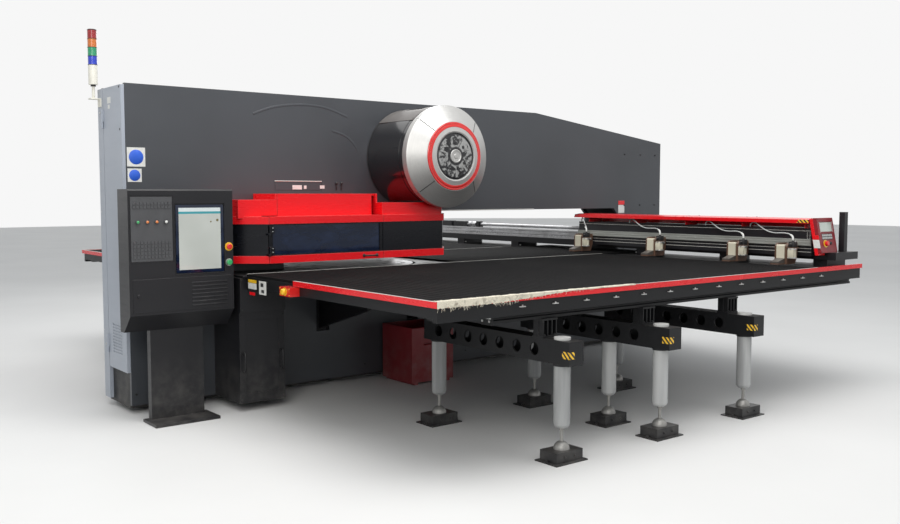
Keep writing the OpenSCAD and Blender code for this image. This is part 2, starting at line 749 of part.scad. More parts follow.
module guard_rear() color(red) rear_side() {
    skirt(rear_path, hood_setback);
    wall(rear_path, hood_setback, hood_setback + guard_t, lip_top, right_hood_z);
    roof(rear_path, hood_setback, right_hood_z - 12, right_hood_z);
}

// The tables
deck_z = table_z - brush_h - deck_t;
rib_z = rail_z + rail_h;
inner_edge = guard_front - table_gap;
module brush_rows(x0, x1, y0, y1) across(y0, y1) difference() {
    translate([x0, table_z - brush_h]) square([x1 - x0, brush_h]);
    for (x = [x0 + brush_pitch - brush_slot : brush_pitch : x1 - brush_slot])
        translate([x, table_z - brush_slot_depth]) square([brush_slot, brush_slot_depth + 1]);
}
module centre_table() color(shade) difference() {
    union() {
        box(guard_corner - 200, throat_right - 20, guard_front, -guard_front,
            deck_z, deck_z + deck_t);
        for (y = [guard_front, -guard_front - 30]) box(throat_left + 1300, throat_right - 20,
            y, y + 30, deck_z - 60, deck_z);
        for (x = [2750 : 470 : 4700]) {
            box(x, x + 30, guard_front, -guard_front, deck_z - 60, deck_z);
            box(x, x + 30, -140, 140, throat_floor, deck_z - 60);
        }
    }
    box(-10, throat_left + 2, face_front - 2, -face_front + 2, 0, table_z);
    translate([turret_x, 0, deck_z - 100]) cylinder(r = turret_r + 20, h = 200);
}
module centre_brush() color(black)
    brush_rows(guard_end + 30, throat_right - 60, guard_front, -guard_front);
module table_deck() {
    box(table_left, base_right, -table_reach + trim_t, inner_edge, deck_z, deck_z + deck_t);
    for (y = [-table_reach + trim_t, inner_edge - rib_w])
        box(table_left, base_right, y, y + rib_w, rib_z, deck_z);
    for (x = [table_left : 436 : base_right - rib_w])
        box(x, x + rib_w, -table_reach + trim_t + rib_w, inner_edge - rib_w, rib_z + 20, deck_z);
    for (y = [-table_reach + rail_inset, inner_rail_y]) {
        difference() {
            box(rail_left, base_right, y - rail_w / 2, y + rail_w / 2, rail_z, rib_z);
            for (s = [-1, 1]) along(rail_left - 1, base_right + 1)
                translate([y + s * rail_w / 2, rail_z + rail_h / 2]) circle(r = 9, $fn = 24);
        }
        box(table_left + 40, base_right - 40, y - rail_w / 2, y + rail_w / 2, rib_z, deck_z);
    }
    // Stop block at the left end of the outer rail
    box(rail_left - 14, rail_left, -table_reach + rail_inset - 45,
        -table_reach + rail_inset + 45, rail_z - 6, rib_z + 24);
}
module front_table() color(shade) table_deck();
module rear_table() color(shade) rear_side() table_deck();
module table_brush() brush_rows(table_left, brush_right, -table_reach + trim_t, inner_edge);
module front_brush() color(black) table_brush();
module rear_brush() color(black) rear_side() table_brush();
trim_low = table_z + 2 - trim_h;
module edge_trim() {
    box(table_left - trim_t, base_right, -table_reach, -table_reach + trim_t, trim_low,
        trim_low + trim_h);
    box(table_left - trim_t, table_left, -table_reach, -table_reach + trim_side_len, trim_low,
        trim_low + trim_h);
}
module front_trim() color(red) edge_trim();
module rear_trim() color(red) rear_side() edge_trim();
stop_box = [70, 140, 60];
stop_at = [table_left - stop_box[0], -table_reach + trim_side_len - 55, trim_low - 3 - stop_box[2]];
stop_bore = [stop_at[0], stop_at[1] + stop_box[1] / 2, stop_at[2] + stop_box[2] / 2];
module table_stop_box() color(red) difference() {
    translate(stop_at) cube(stop_box);
    translate(stop_bore - [1, 0, 0]) rotate([0, 90, 0])
        cylinder(r = estop_r * 0.5 + slide_gap, h = 31);
}
module stop_head(len) rotate([0, -90, 0]) {
    translate([0, 0, -20]) cylinder(r = estop_r * 0.5, h = 20 + len);
    translate([0, 0, button_travel + 2]) cylinder(r = estop_r, h = len - button_travel - 4);
    translate([0, 0, len - 2]) cylinder(r1 = estop_r, r2 = estop_r - 5, h = 4);
}
module table_stop_button() color([0.85, 0.65, 0.10]) translate(stop_bore) stop_head(22);

// The supports
beam_front = -table_reach - beam_over;
leg_front = beam_front + leg_end_gap;
function leg_places(i) = concat([leg_front, leg_front + leg_span],
                                i == 1 ? [leg_front + 440] : []);
module each_leg() for (side = [0, 1], i = [0 : len(support_x) - 1])
    mirror([0, side, 0]) for (y = leg_places(i)) translate([support_x[i], y, 0]) children();
module support_beam(i) {
    beam_top = beam_z + beam_h;
    rail_y = -table_reach + rail_inset;
    difference() {
        box(-beam_w / 2, beam_w / 2, beam_front, beam_front + beam_len, beam_z, beam_top);
        box(-beam_w / 2 + beam_wall, beam_w / 2 - beam_wall, beam_front + 200,
            beam_front + beam_len - 60, beam_z + beam_wall, beam_top - beam_wall);
        for (y = [beam_front + 290 : beam_hole_pitch : beam_front + beam_len - 110])
            translate([-beam_w, y, beam_z + beam_h / 2]) rotate([0, 90, 0])
                cylinder(r = beam_hole_r, h = beam_w * 2, $fn = 48);
    }
    // Ribbed bracket that carries the outer rail
    box(-60, 60, rail_y - 46, rail_y + 46, beam_top, beam_top + 10);
    box(-60, 60, rail_y - 46, rail_y + 46, rail_z - slide_gap - 12, rail_z - slide_gap);
    box(-60, 60, rail_y - 6, rail_y + 6, beam_top, rail_z - slide_gap);
    for (x = [-56, -21, 14, 49]) box(x, x + 8, rail_y - 42, rail_y + 42, beam_top,
        rail_z - slide_gap);
    for (y = leg_places(i)) translate([0, y, 0]) {
        translate([0, 0, leg_z + 16]) cylinder(r = leg_r, h = beam_z - leg_z - 16);
        translate([0, 0, leg_z]) cylinder(r1 = leg_r - 12, r2 = leg_r, h = 16);
    }
    translate([0, leg_front, beam_top]) cylinder(r = leg_r, h = 14);
}
module support_beams_front() color(shade) for (i = [0 : len(support_x) - 1])
    translate([support_x[i], 0, 0]) support_beam(i);
module support_beams_rear() color(shade) rear_side() for (i = [0 : len(support_x) - 1])
    translate([support_x[i], 0, 0]) support_beam(i);
dome_z = sole_t + block_h;
module levelling_feet() color([0.72, 0.73, 0.74]) each_leg() {
    intersection() {
        translate([0, 0, dome_z]) sphere(r = dome_r);
        translate([0, 0, dome_z]) cylinder(r = dome_r + 1, h = dome_r + 1);
    }
    translate([0, 0, dome_z]) cylinder(r = screw_r, h = leg_z - dome_z);
    translate([0, 0, leg_z - 16]) cylinder(r = screw_r * 1.7, h = 16, $fn = 6);
}
module foot_blocks() color(black) each_leg() {
    box(-block_w / 2, block_w / 2, -block_d / 2, block_d / 2, sole_t, dome_z);
    box(-block_w / 2 - sole_rim, block_w / 2 + sole_rim, -block_d / 2 - sole_rim,
        block_d / 2 + sole_rim, 0, sole_t);
}

// The carriage base and its screw
guide_z = base_z + base_h;
ball_x = base_left + guide_w / 2;
saddle_front = saddle_rear - saddle_len;
cap_rear = saddle_front - 4;
ball_front = cap_rear - free_gap;
bearing_t = 44;
motor_y0 = ball_rear + 165;
rail_x = base_right - 66;
rear_rail_w = 40;
rear_rail_h = 30;
// The guides end where the saddle's rear end stops
guide_end = saddle_rear + saddle_travel;
module carriage_base() color(shade) {
    difference() {
        box(base_left, base_right, -base_reach, base_reach, base_z, guide_z);
        for (y = [-2275 : 650 : 2600]) box(base_left + 120, rail_x - 30, y - 180, y + 180,
            guide_z - 24, guide_z + 1);
    }
    for (s = [-1, 1], y = base_foot_y) box(base_left + 30, base_right - 30,
        s * y - 60, s * y + 60, deck_z + deck_t, base_z);
    box(rail_x, rail_x + rear_rail_w, ball_front, guide_end - 20, guide_z,
        guide_z + rear_rail_h);
    // Bearing blocks for the screw
    for (y = [ball_front - bearing_t, ball_rear - bearing_t - 2]) difference() {
        box(ball_x - 34, ball_x + 34, y, y + bearing_t, guide_z + guide_h, ball_z + 34);
        bar_y(ball_x, ball_z, ball_r * 0.8 + run_fit, y - 1, y + bearing_t + 1);
    }
    box(base_right - post_inset, base_right - post_inset + post_w, -base_reach + 32,
        -base_reach + 32 + post_w, guide_z, post_top);
}
module guide_beam() color([0.66, 0.67, 0.68]) difference() {
    box(base_left, base_left + guide_w, ball_front - bearing_t, guide_end, guide_z,
        guide_z + guide_h);
    across(-base_reach, base_reach) for (z = [guide_z + 26, guide_z + 62])
        translate([base_left, z]) circle(r = 7, $fn = 24);
}
module ball_screw() color([0.82, 0.83, 0.84]) {
    bar_y(ball_x, ball_z, ball_r, ball_front, ball_rear - 48);
    bar_y(ball_x, ball_z, ball_r * 0.8, ball_front - bearing_t + 2, ball_front);
    bar_y(ball_x, ball_z, ball_r * 0.8, ball_rear - 48, ball_rear + 20);
    bar_y(ball_x, ball_z, ball_r + 12, ball_rear + 20, ball_rear + 84);
    bar_y(ball_x, ball_z, ball_r + 6, ball_rear + 84, ball_rear + 104);
    bar_y(ball_x, ball_z, ball_r + 12, ball_rear + 104, motor_y0 - slide_gap);
}
module drive_motor() color([0.30, 0.30, 0.31]) {
    box(ball_x - 33, ball_x + 33, motor_y0, motor_y0 + 30, guide_z + guide_h, ball_z + 32);
    difference() {
        box(ball_x - 30, ball_x + 30, motor_y0 + 30, motor_y0 + 250, guide_z + guide_h,
            ball_z + 30);
        for (z = [ball_z - 22 : 9 : ball_z + 24], s = [-1, 1])
            box(ball_x + s * 30 - 3, ball_x + s * 30 + 3, motor_y0 + 44, motor_y0 + 200,
                z, z + 4);
    }
    box(ball_x - 34, ball_x + 34, motor_y0 + 290, motor_y0 + 500, guide_z + guide_h,
        ball_z + 32);
    box(ball_x - 12, ball_x + 12, motor_y0 + 250, motor_y0 + 290, guide_z + guide_h,
        ball_z - 4);
}

// The clamp carriage
nut_y = saddle_front + 900;
saddle_right = base_left + guide_w + 18;
wing_right = rail_x + rear_rail_w + 4;
apron_z = guide_z - 34;
bar_left = saddle_left - clamp_bar_t;
module carriage_saddle() color(shade) {
    difference() {
        union() {
            box(saddle_left, saddle_left + saddle_t, saddle_front, saddle_rear, apron_z,
                saddle_top);
            box(saddle_left, saddle_right, saddle_front, saddle_rear, saddle_top - saddle_plate,
                saddle_top);
            box(saddle_right, wing_right, saddle_front + 120, saddle_rear,
                saddle_top - saddle_plate, saddle_top);
            // Bar that the clamps are bolted to
            box(bar_left, saddle_left, saddle_front, saddle_rear, clamp_top - 22,
                clamp_top + 33);
        }
        for (z = [apron_z + 30, apron_z + 58, saddle_top - 24])
            box(saddle_left - 1, saddle_left + 6, saddle_front - 1, saddle_rear + 1, z, z + 8);
    }
    // Runner blocks on the guide beam and on the rear rail
    for (y = [saddle_front + 150, saddle_rear - 220, saddle_front + saddle_len / 2 - 50]) {
        box(saddle_left + saddle_t, base_left - slide_gap, y, y + 100, guide_z + 8,
            guide_z + guide_h - 8);
        box(rail_x - 4, wing_right, y, y + 100, guide_z + rear_rail_h + slide_gap,
            saddle_top - saddle_plate);
    }
    // Nut block round the ball screw
    difference() {
        box(ball_x - 31, ball_x + 31, nut_y, nut_y + 110, guide_z + guide_h + slide_gap,
            saddle_top - saddle_plate);
        bar_y(ball_x, ball_z, ball_r + run_fit, nut_y - 1, nut_y + 111);
    }
}
cover_left = bar_left - 34;
cover_right = cover_left + cover_w;
module cover_profile() polygon([
    [cover_left, cover_top - 8 - cover_edge], [cover_left, cover_top - 8],
    [cover_left + 60, cover_top], [cover_right - 12, cover_top], [cover_right, cover_top - 12],
    [cover_right, saddle_top + 2], [cover_right - cover_sheet, saddle_top + 2],
    [cover_right - cover_sheet, cover_top - 14], [cover_right - 14, cover_top - cover_sheet],
    [cover_left + 61, cover_top - cover_sheet], [cover_left + cover_sheet, cover_top - 12],
    [cover_left + cover_sheet, cover_top - 8 - cover_edge]]);
module carriage_cover() color(red) {
    difference() {
        across(saddle_front, saddle_rear + 60) cover_profile();
        // The rear end is cut back at a slant
        translate([cover_left - 10, saddle_rear + 60, cover_top - 120]) rotate([22, 0, 0])
            cube([cover_w + 20, 80, 220]);
    }
    // Cross ribs that hold the cover over the saddle
    for (y = [saddle_front + 60 : 590 : saddle_rear - 60])
        across(y, y + 6) polygon([[saddle_left + 6, saddle_top], [saddle_right, saddle_top],
            [cover_right - cover_sheet, saddle_top + 4], [cover_right - cover_sheet,
             cover_top - 14], [cover_right - 14, cover_top - cover_sheet],
            [cover_left + 61, cover_top - cover_sheet], [saddle_left + 6, cover_top - 6]]);
}
// A block whose front and rear lean back towards the top, between two depths
module leaning(x0, x1, d0, d1, z0, z1) along(x0, x1) polygon([
    for (p = [[d0, z0], [d0, z1], [d1, z1], [d1, z0]])
        [cap_rear - p[0] - end_lean * (cover_top - p[1]), p[1]]]);
module end_cap() color(red) difference() {
    leaning(cover_left, cover_right, 0, end_plate, base_z, cover_top);
    // Room for the guide beam and the screw's bearing
    box(base_left - 16, cover_right - 16, cap_rear - 200, cap_rear + 1, base_z - 1,
        ball_z + 40);
    box(cover_left - 1, cover_right + 1, -base_reach - 1, cap_rear + 1, base_z - 1,
        guide_z - 20);
    box(base_left - free_gap, cover_right + 1, -base_reach - 1, cap_rear + 1, base_z - 1,
        guide_z);
}
panel_z = guide_z;
module control_box() color([0.45, 0.12, 0.13]) difference() {
    leaning(cover_left + 4, cover_right, end_plate, end_plate + control_t, panel_z,
        cover_top + 6);
    leaning(cover_left + 40, cover_right - 32, end_plate + control_t - 2,
        end_plate + control_t + 1, display_z, display_z + display_h);
    translate(stop_seat) rotate([90 - atan(end_lean), 0, 0]) translate([0, 0, -28])
        cylinder(r = estop_r * 0.5 + slide_gap, h = 40);
}
stop_z = 1172;
display_z = 1266;
display_h = 76;
stop_seat = [cover_left + 86, cap_rear - end_plate - control_t - end_lean * (cover_top - stop_z),
             stop_z];
module control_stop() color([0.78, 0.12, 0.08])
    translate(stop_seat) rotate([90 - atan(end_lean), 0, 0]) rotate([0, 90, 0]) stop_head(24);

// The clamps
jaw_z = table_z + jaw_lift;
jaw_top = jaw_z + jaw_t;
cheek_left = bar_left - clamp_depth;
jaw_pin = [cheek_left + 46, jaw_top + 44];
cheek_in = clamp_w / 2 - cheek_t;
cylinder_x = cheek_left + 15;
cylinder_y = -clamp_w / 2 - 6 - cylinder_w / 2;
cylinder_z = guide_z - 48;
cylinder_top = cylinder_z + cylinder_h;
valve_z = cylinder_top + 10;
fitting_z = valve_z + valve_h + 12;
module clamp_body() {
    for (s = [-1, 1]) {
        y = s > 0 ? cheek_in : -clamp_w / 2;
        across(y, y + cheek_t) polygon([[cheek_left, jaw_z], [cheek_left, clamp_top - 24],
            [cheek_left + 24, clamp_top], [bar_left, clamp_top],
            [bar_left, apron_z + 10], [bar_left - 30, jaw_z]]);
    }
    box(cheek_left - jaw_reach, bar_left - 40, -cheek_in - 1, cheek_in + 1, jaw_z, jaw_top);
    box(bar_left - 42, bar_left, -cheek_in - 1, cheek_in + 1, jaw_top, clamp_top - 6);
    bar_y(jaw_pin[0], jaw_pin[1], jaw_pin_r, -cheek_in - 1, cheek_in + 1);
    // Air cylinder that hangs beside a cheek, with its valve and hose fitting on top
    translate([cylinder_x, cylinder_y, 0]) {
        translate([0, 0, cylinder_z]) cylinder(r = cylinder_w / 2 - 5, h = cylinder_h, $fn = 48);
        for (z = [cylinder_z, cylinder_top - 12]) translate([0, 0, z])
            cylinder(r = cylinder_w / 2, h = 12, $fn = 48);
        translate([0, 0, fitting_z - 13]) cylinder(r = 9, h = 13, $fn = 32);
        box(-22, 24, -22, 22, valve_z - 1, valve_z + valve_h);
    }
    box(cylinder_x - 26, cylinder_x + 44, cylinder_y - 26, -clamp_w / 2, cylinder_top, valve_z);
}
module clamp_bodies() color([0.42, 0.30, 0.22]) for (y = clamp_y) translate([0, y, 0])
    clamp_body();
module clamp_jaw(i) color([0.82, 0.79, 0.68]) translate([0, clamp_y[i], 0]) difference() {
    across(-cheek_in + slide_gap, cheek_in - slide_gap) polygon([
        [cheek_left - jaw_reach, jaw_top + slide_gap], [jaw_pin[0] - 4, jaw_top + slide_gap],
        [jaw_pin[0] + 40, jaw_top + 14], [jaw_pin[0] + 40, clamp_top - 44],
        [jaw_pin[0] + 22, clamp_top - 12],
        [cheek_left - 2, clamp_top - 12], [cheek_left - 8, clamp_top - 20],
        [cheek_left - 8, jaw_top + 36], [cheek_left - jaw_reach, jaw_top + 14]]);
    bar_y(jaw_pin[0], jaw_pin[1], jaw_pin_r + run_fit, -clamp_w, clamp_w);
}
module clamp_jaw_1() clamp_jaw(0);
module clamp_jaw_2() clamp_jaw(1);
module clamp_jaw_3() clamp_jaw(2);
module clamp_jaw_4() clamp_jaw(3);

// An air hose swept along points, as a tube with flat sides
hose_sides = 8;
function tangent(p, i) = unit(p[min(i + 1, len(p) - 1)] - p[max(i - 1, 0)]);
function ring_at(c, t, r) = let (a = unit(cross(t, [1, 0.2, 0.1])), b = cross(t, a))
    [for (k = [0 : hose_sides - 1]) c + r * (cos(360 * k / hose_sides) * a
                                             + sin(360 * k / hose_sides) * b)];
module sweep(p, r) {
    pts = [for (i = [0 : len(p) - 1]) each ring_at(p[i], tangent(p, i), r)];
    n = hose_sides;
    polyhedron(pts, concat([[for (k = [n - 1 : -1 : 0]) k]],
        [for (i = [0 : len(p) - 2], k = [0 : n - 1])
            [n * i + k, n * i + (k + 1) % n, n * (i + 1) + (k + 1) % n, n * (i + 1) + k]],
        [[for (k = [0 : n - 1]) n * (len(p) - 1) + k]]), convexity = 4);
}
fitting_x = cylinder_x - saddle_left;
// Points from the saddle's top to a clamp's fitting: X from the saddle's front, Y from the
// clamp's middle, and Z
hose_route = [[12, 404, saddle_top], [12, 404, saddle_top + 9], [10, 400, saddle_top + 20],
              [6, 390, saddle_top + 30], [1, 376, saddle_top + 37], [-5, 360, saddle_top + 39],
              [-11, 342, saddle_top + 36], [-17, 322, saddle_top + 28],
              [-22, 300, saddle_top + 16], [-27, 274, saddle_top + 1],
              [-33, 244, saddle_top - 14], [-40, 208, saddle_top - 28],
              [-49, 164, saddle_top - 38], [-60, 114, saddle_top - 42],
              [-75, 64, saddle_top - 40], [-94, 14, saddle_top - 39],
              [-113, -32, saddle_top - 42], [-129, cylinder_y + 33, saddle_top - 50],
              [fitting_x + 6, cylinder_y + 9, fitting_z + 32],
              [fitting_x, cylinder_y, fitting_z + 16],
              [fitting_x, cylinder_y, fitting_z]];
// The same for a clamp near the saddle's rear end, where a shorter hose takes a steeper way
short_route = [[12, 121, saddle_top], [12, 121, saddle_top + 9], [9, 117, saddle_top + 20],
               [3, 109, saddle_top + 30], [-6, 97, saddle_top + 37], [-16, 83, saddle_top + 38],
               [-27, 68, saddle_top + 34], [-38, 52, saddle_top + 26],
               [-49, 36, saddle_top + 14], [-60, 20, saddle_top + 1],
               [-72, 3, saddle_top - 12], [-85, -15, saddle_top - 23],
               [-99, -34, saddle_top - 32], [-114, -54, saddle_top - 39],
               [-128, cylinder_y + 23, saddle_top - 49],
               [fitting_x + 7, cylinder_y + 7, fitting_z + 32],
               [fitting_x, cylinder_y, fitting_z + 16],
               [fitting_x, cylinder_y, fitting_z]];
module clamp_hoses() color([0.70, 0.71, 0.70]) for (y = clamp_y) {
    room = saddle_rear - 24 - y;
    route = room < hose_route[0][1] ? short_route : hose_route;
    reach = min(1, room / route[0][1]);
    translate([saddle_left, y, 0])
        sweep([for (p = route) [p[0], p[1] * (p[1] > 0 ? reach : 1), p[2]]], hose_r);
}

// The console
console_right = console_left + console_w;
console_back = -console_front + console_d;
screen = [345, 465];
screen_at = [console_right - 415, 1030];
keys_at = [console_left + 18, 1120];
keys_size = [282, 430];
key_pitch = 24;
stop_place = [console_right - 33, 1200];
start_place = [console_right - 33, 1090];
module console_hole(p) translate([p[0], -console_front - 1, p[1]]) rotate([-90, 0, 0])
    cylinder(r = estop_r * 0.5 + slide_gap, h = 31);
module console_cabinet() color(black) {
    difference() {
        along(console_left, console_right) polygon([
            [-console_front, console_z + 120], [-console_front, console_top - 10],
            [-console_front + 10, console_top], [console_back, console_top],
            [console_back, console_z], [-console_front + 120, console_z]]);
        translate([screen_at[0] - 4, -console_front - 1, screen_at[1] - 4])
            cube([screen[0] + 8, 13, screen[1] + 8]);
        translate([keys_at[0] - 1, -console_front - 1, keys_at[1] - 1])
            cube([keys_size[0] + 2, 5, keys_size[1] + 2]);
        console_hole(stop_place);
        console_hole(start_place);
    }
    x0 = console_left + (console_w - console_foot_w) / 2;
    box(x0, x0 + console_foot_w, console_back - 60, console_back, 20, console_z + 1);
    box(x0 - 40, x0 + console_foot_w + 40, console_back - 240, console_back, 0, 20);
    // Duct that carries the wiring to the bridge
    box(x0 + 90, x0 + 290, console_back, face_front, 700, 860);
}
module console_screen() color([0.12, 0.14, 0.16]) difference() {
    translate([screen_at[0], -console_front + 2, screen_at[1]]) cube([screen[0], 10, screen[1]]);
    translate([screen_at[0] + 20, -console_front + 1, screen_at[1] + 20])
        cube([screen[0] - 40, 3, screen[1] - 40]);
}
module console_keys() color([0.20, 0.20, 0.21]) {
    translate([keys_at[0], -console_front, keys_at[1]]) cube([keys_size[0], 4, keys_size[1]]);
    for (i = [0 : 10], j = [0 : 4]) translate([keys_at[0] + 14 + key_pitch * i,
        -console_front - 4, keys_at[1] + 20 + key_pitch * j]) cube([18, 5, 18]);
    for (i = [0 : 10], j = [0 : 1]) translate([keys_at[0] + 14 + key_pitch * i,
        -console_front - 4, keys_at[1] + 352 + key_pitch * j]) cube([18, 5, 18]);
    for (i = [0 : 3]) translate([keys_at[0] + 45 + 64 * i, -console_front, keys_at[1] + 262])
        rotate([90, 0, 0]) cylinder(r = 13, h = 12, $fn = 32);
}
module console_button(p) translate([p[0], -console_front, p[1]]) rotate([0, 0, 90])
    stop_head(18);
module console_stop() color([0.78, 0.12, 0.08]) console_button(stop_place);
module console_start() color([0.15, 0.55, 0.25]) console_button(start_place);

// Covers and bin at the foot of the bridge
cover_face = guard_front + 6;
base_cover_right = base_cover_left + base_cover_w;
module base_cover() color(shade) difference() {
    box(base_cover_left, base_cover_right, cover_face, face_front, skirt_gap, deck_z - 4);
    box(base_cover_left - 1, base_cover_right + 1, cover_face - 1, cover_face + base_cover_set,
        skirt_gap - 1, base_cover_step);
    box(base_cover_left + 50, base_cover_right - 50, cover_face, cover_face + base_cover_set + 4,
        skirt_gap + 70, base_cover_step - 60);
}
bin_front = guard_front + 6;
module scrap_bin() color([0.42, 0.07, 0.07]) {
    difference() {
        box(bin_left, bin_left + bin_w, bin_front, bin_front + bin_d, 20, 20 + bin_h);
        box(bin_left + bin_wall, bin_left + bin_w - bin_wall, bin_front + bin_wall,
            bin_front + bin_d - bin_wall, 20 + bin_wall, 21 + bin_h);
        box(bin_left + 120, bin_left + bin_w - 120, bin_front - 1, bin_front + bin_wall + 1,
            bin_h - 60, bin_h - 30);
    }
    for (x = [bin_left + 30, bin_left + bin_w - 70])
        box(x, x + 40, bin_front + 10, bin_front + bin_d - 10, 0, 20);
}

placed() bridge_frame();
placed() front_cover();
placed() rear_cover();
placed() end_strip();
placed() cabinet_door();
placed() base_cover();
placed() beacon_base();
placed() beacon_blue();
placed() beacon_green();
placed() beacon_orange();
placed() beacon_red();
placed() motor_housing_front();
placed() bezel_front();
placed() bezel_ring();
placed() bezel_hub();
placed() motor_housing_rear();
placed() guard_left_panel();
placed() guard_door();
placed() guard_window();
placed() guard_right_panel();
placed() guard_rear();
placed() upper_turret();
placed() punch_set();
placed() lower_turret();
placed() ram();
placed() centre_table();
placed() centre_brush();
placed() front_table();
placed() front_brush();
placed() front_trim();
placed() rear_table();
placed() rear_brush();
placed() rear_trim();
placed() table_stop_box();
placed() table_stop_button();
placed() support_beams_front();
placed() support_beams_rear();
placed() levelling_feet();
placed() foot_blocks();
placed() carriage_base();
placed() guide_beam();
placed() ball_screw();
placed() drive_motor();
placed() carriage_saddle();
placed() carriage_cover();
placed() end_cap();
placed() control_box();
placed() control_stop();
placed() clamp_bodies();
placed() clamp_jaw_1();
placed() clamp_jaw_2();
placed() clamp_jaw_3();
placed() clamp_jaw_4();
placed() clamp_hoses();
placed() console_cabinet();
placed() console_screen();
placed() console_keys();
placed() console_stop();
placed() console_start();
placed() scrap_bin();
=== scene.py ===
import math
import random
from itertools import product

import bmesh
import bpy
from mathutils import Euler, Matrix, Vector, noise


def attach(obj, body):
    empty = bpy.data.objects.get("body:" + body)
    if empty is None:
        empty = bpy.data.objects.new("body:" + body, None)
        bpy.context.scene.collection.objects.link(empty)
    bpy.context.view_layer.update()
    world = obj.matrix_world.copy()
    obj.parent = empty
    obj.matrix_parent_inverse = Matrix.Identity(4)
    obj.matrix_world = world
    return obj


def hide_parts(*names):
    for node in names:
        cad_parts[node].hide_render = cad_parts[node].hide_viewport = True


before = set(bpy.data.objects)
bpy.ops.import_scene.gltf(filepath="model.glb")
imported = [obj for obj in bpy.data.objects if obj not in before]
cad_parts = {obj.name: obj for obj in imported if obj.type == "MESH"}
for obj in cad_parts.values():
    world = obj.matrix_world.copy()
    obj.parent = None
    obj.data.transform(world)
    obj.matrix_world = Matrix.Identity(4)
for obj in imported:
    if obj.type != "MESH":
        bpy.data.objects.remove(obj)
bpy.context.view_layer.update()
scene = bpy.context.scene


def stand(name, data):
    """Puts an object with that data into the scene."""
    thing = bpy.data.objects.new(name, data)
    scene.collection.objects.link(thing)
    return thing


# Camera

eye = stand("eye", bpy.data.cameras.new("eye"))
eye.data.sensor_width = 36
eye.data.lens = 37.4
eye.data.clip_end = 60
eye.location = (-5.1406, -6.7890, 1.57)
eye.rotation_euler = Euler((math.radians(90 - 4.18), 0, math.radians(-38.51)))
scene.camera = eye

# Materials


class Wire:
    """An output of a node. Sums and products written on it become Math nodes."""

    def __init__(self, nodes, socket):
        self.nodes, self.socket = nodes, socket

    def math(self, operation, *values):
        """A Math node on the values, or on this output alone."""
        return self.nodes.add("ShaderNodeMath", {"operation": operation},
                              dict(enumerate(values or (self,))))

    def __add__(self, other):
        return self.math("ADD", self, other)

    def __sub__(self, other):
        return self.math("SUBTRACT", self, other)

    def __rsub__(self, other):
        return self.math("SUBTRACT", other, self)

    def __mul__(self, other):
        return self.math("MULTIPLY", self, other)

    __radd__ = __add__
    __rmul__ = __mul__

    def rise(self, low, high):
        """0 below low, 1 above high, with a soft step between."""
        return self.nodes.add(
            "ShaderNodeMapRange", {"interpolation_type": "SMOOTHSTEP"},
            {"Value": self, "From Min": low, "From Max": high})

    def within(self, low, high, step):
        """1 between low and high and 0 outside, with a soft step inside each end."""
        return self.rise(low, low + step) * (1 - self.rise(high - step, high))


class Nodes:
    """A node tree that grows by one node at a time."""

    def __init__(self, tree):
        self.tree = tree

    def feed(self, socket, value):
        if isinstance(value, Wire):
            self.tree.links.new(value.socket, socket)
        elif socket.type == "RGBA" and len(value) == 3:
            socket.default_value = (*value, 1)
        else:
            socket.default_value = value

    def add(self, kind, settings=None, inputs=None, out=0):
        """One node: its settings first, then the values or links of its sockets."""
        node = self.tree.nodes.new(kind)
        for key, value in (settings or {}).items():
            setattr(node, key, value)
        for key, value in (inputs or {}).items():
            self.feed(node.inputs[key], value)
        return Wire(self, node.outputs[out])


class Finish(Nodes):
    """A node material round one Principled shader."""

    def __init__(self, name):
        self.material = bpy.data.materials.new(name)
        self.material.use_nodes = True
        super().__init__(self.material.node_tree)
        self.shader = self.tree.nodes["Principled BSDF"]

    def places(self, stretch=(1, 1, 1), turn=(0, 0, 0), shift=(0, 0, 0)):
        """Object coordinates in metres, moved, turned and stretched."""
        return self.add("ShaderNodeMapping", {}, {
            "Vector": self.add("ShaderNodeTexCoord", out="Object"),
            "Location": shift, "Rotation": turn, "Scale": stretch})

    def parts(self, vector):
        """The three numbers of a vector."""
        node = self.add("ShaderNodeSeparateXYZ", {}, {0: vector}).socket.node
        return [Wire(self, node.outputs[i]) for i in range(3)]

    def spot(self):
        """X, Y and Z of a point on the part, in metres."""
        return self.parts(self.add("ShaderNodeTexCoord", out="Object"))

    def noise(self, scale, at, detail=3, rough=0.5, distortion=0.0):
        return self.add("ShaderNodeTexNoise", {}, {
            "Vector": at, "Scale": scale, "Detail": detail, "Roughness": rough,
            "Distortion": distortion})

    def cells(self, scale, at, spread=1.0):
        return self.add("ShaderNodeTexVoronoi", {}, {
            "Vector": at, "Scale": scale, "Randomness": spread})

    def blend(self, mask, low, high):
        """Two colours mixed by a mask."""
        return self.add("ShaderNodeMix", {"data_type": "RGBA"}, {0: mask, 6: low, 7: high}, out=2)

    def facing(self, axis):
        """How far a face looks along an axis: 0 is X, 1 is Y and 2 is Z."""
        return self.parts(self.add("ShaderNodeNewGeometry", out="Normal"))[axis]

    def rounded(self, radius):
        return self.add("ShaderNodeBevel", {"samples": 4}, {"Radius": radius})

    def edges(self, radius):
        """1 along the edges of a solid and 0 on its flats."""
        dot = self.add("ShaderNodeVectorMath", {"operation": "DOT_PRODUCT"}, {
            0: self.rounded(radius), 1: self.add("ShaderNodeNewGeometry", out="Normal")},
            out="Value")
        return (1 - dot).rise(0.015, 0.12)

    def bumped(self, height, strength, distance=0.001, normal=None):
        inputs = {"Height": height, "Strength": strength, "Distance": distance}
        if normal is not None:
            inputs["Normal"] = normal
        return self.add("ShaderNodeBump", {}, inputs)

    def surface(self, **values):
        """Feeds the shader's sockets, named with underscores for spaces."""
        for key, value in values.items():
            self.feed(self.shader.inputs[key.replace("_", " ")], value)
        return self.material


def shade(colour, by):
    return tuple(min(1.0, c * by) for c in colour)


DUST = (0.34, 0.32, 0.29)
BARE = (0.30, 0.30, 0.31)


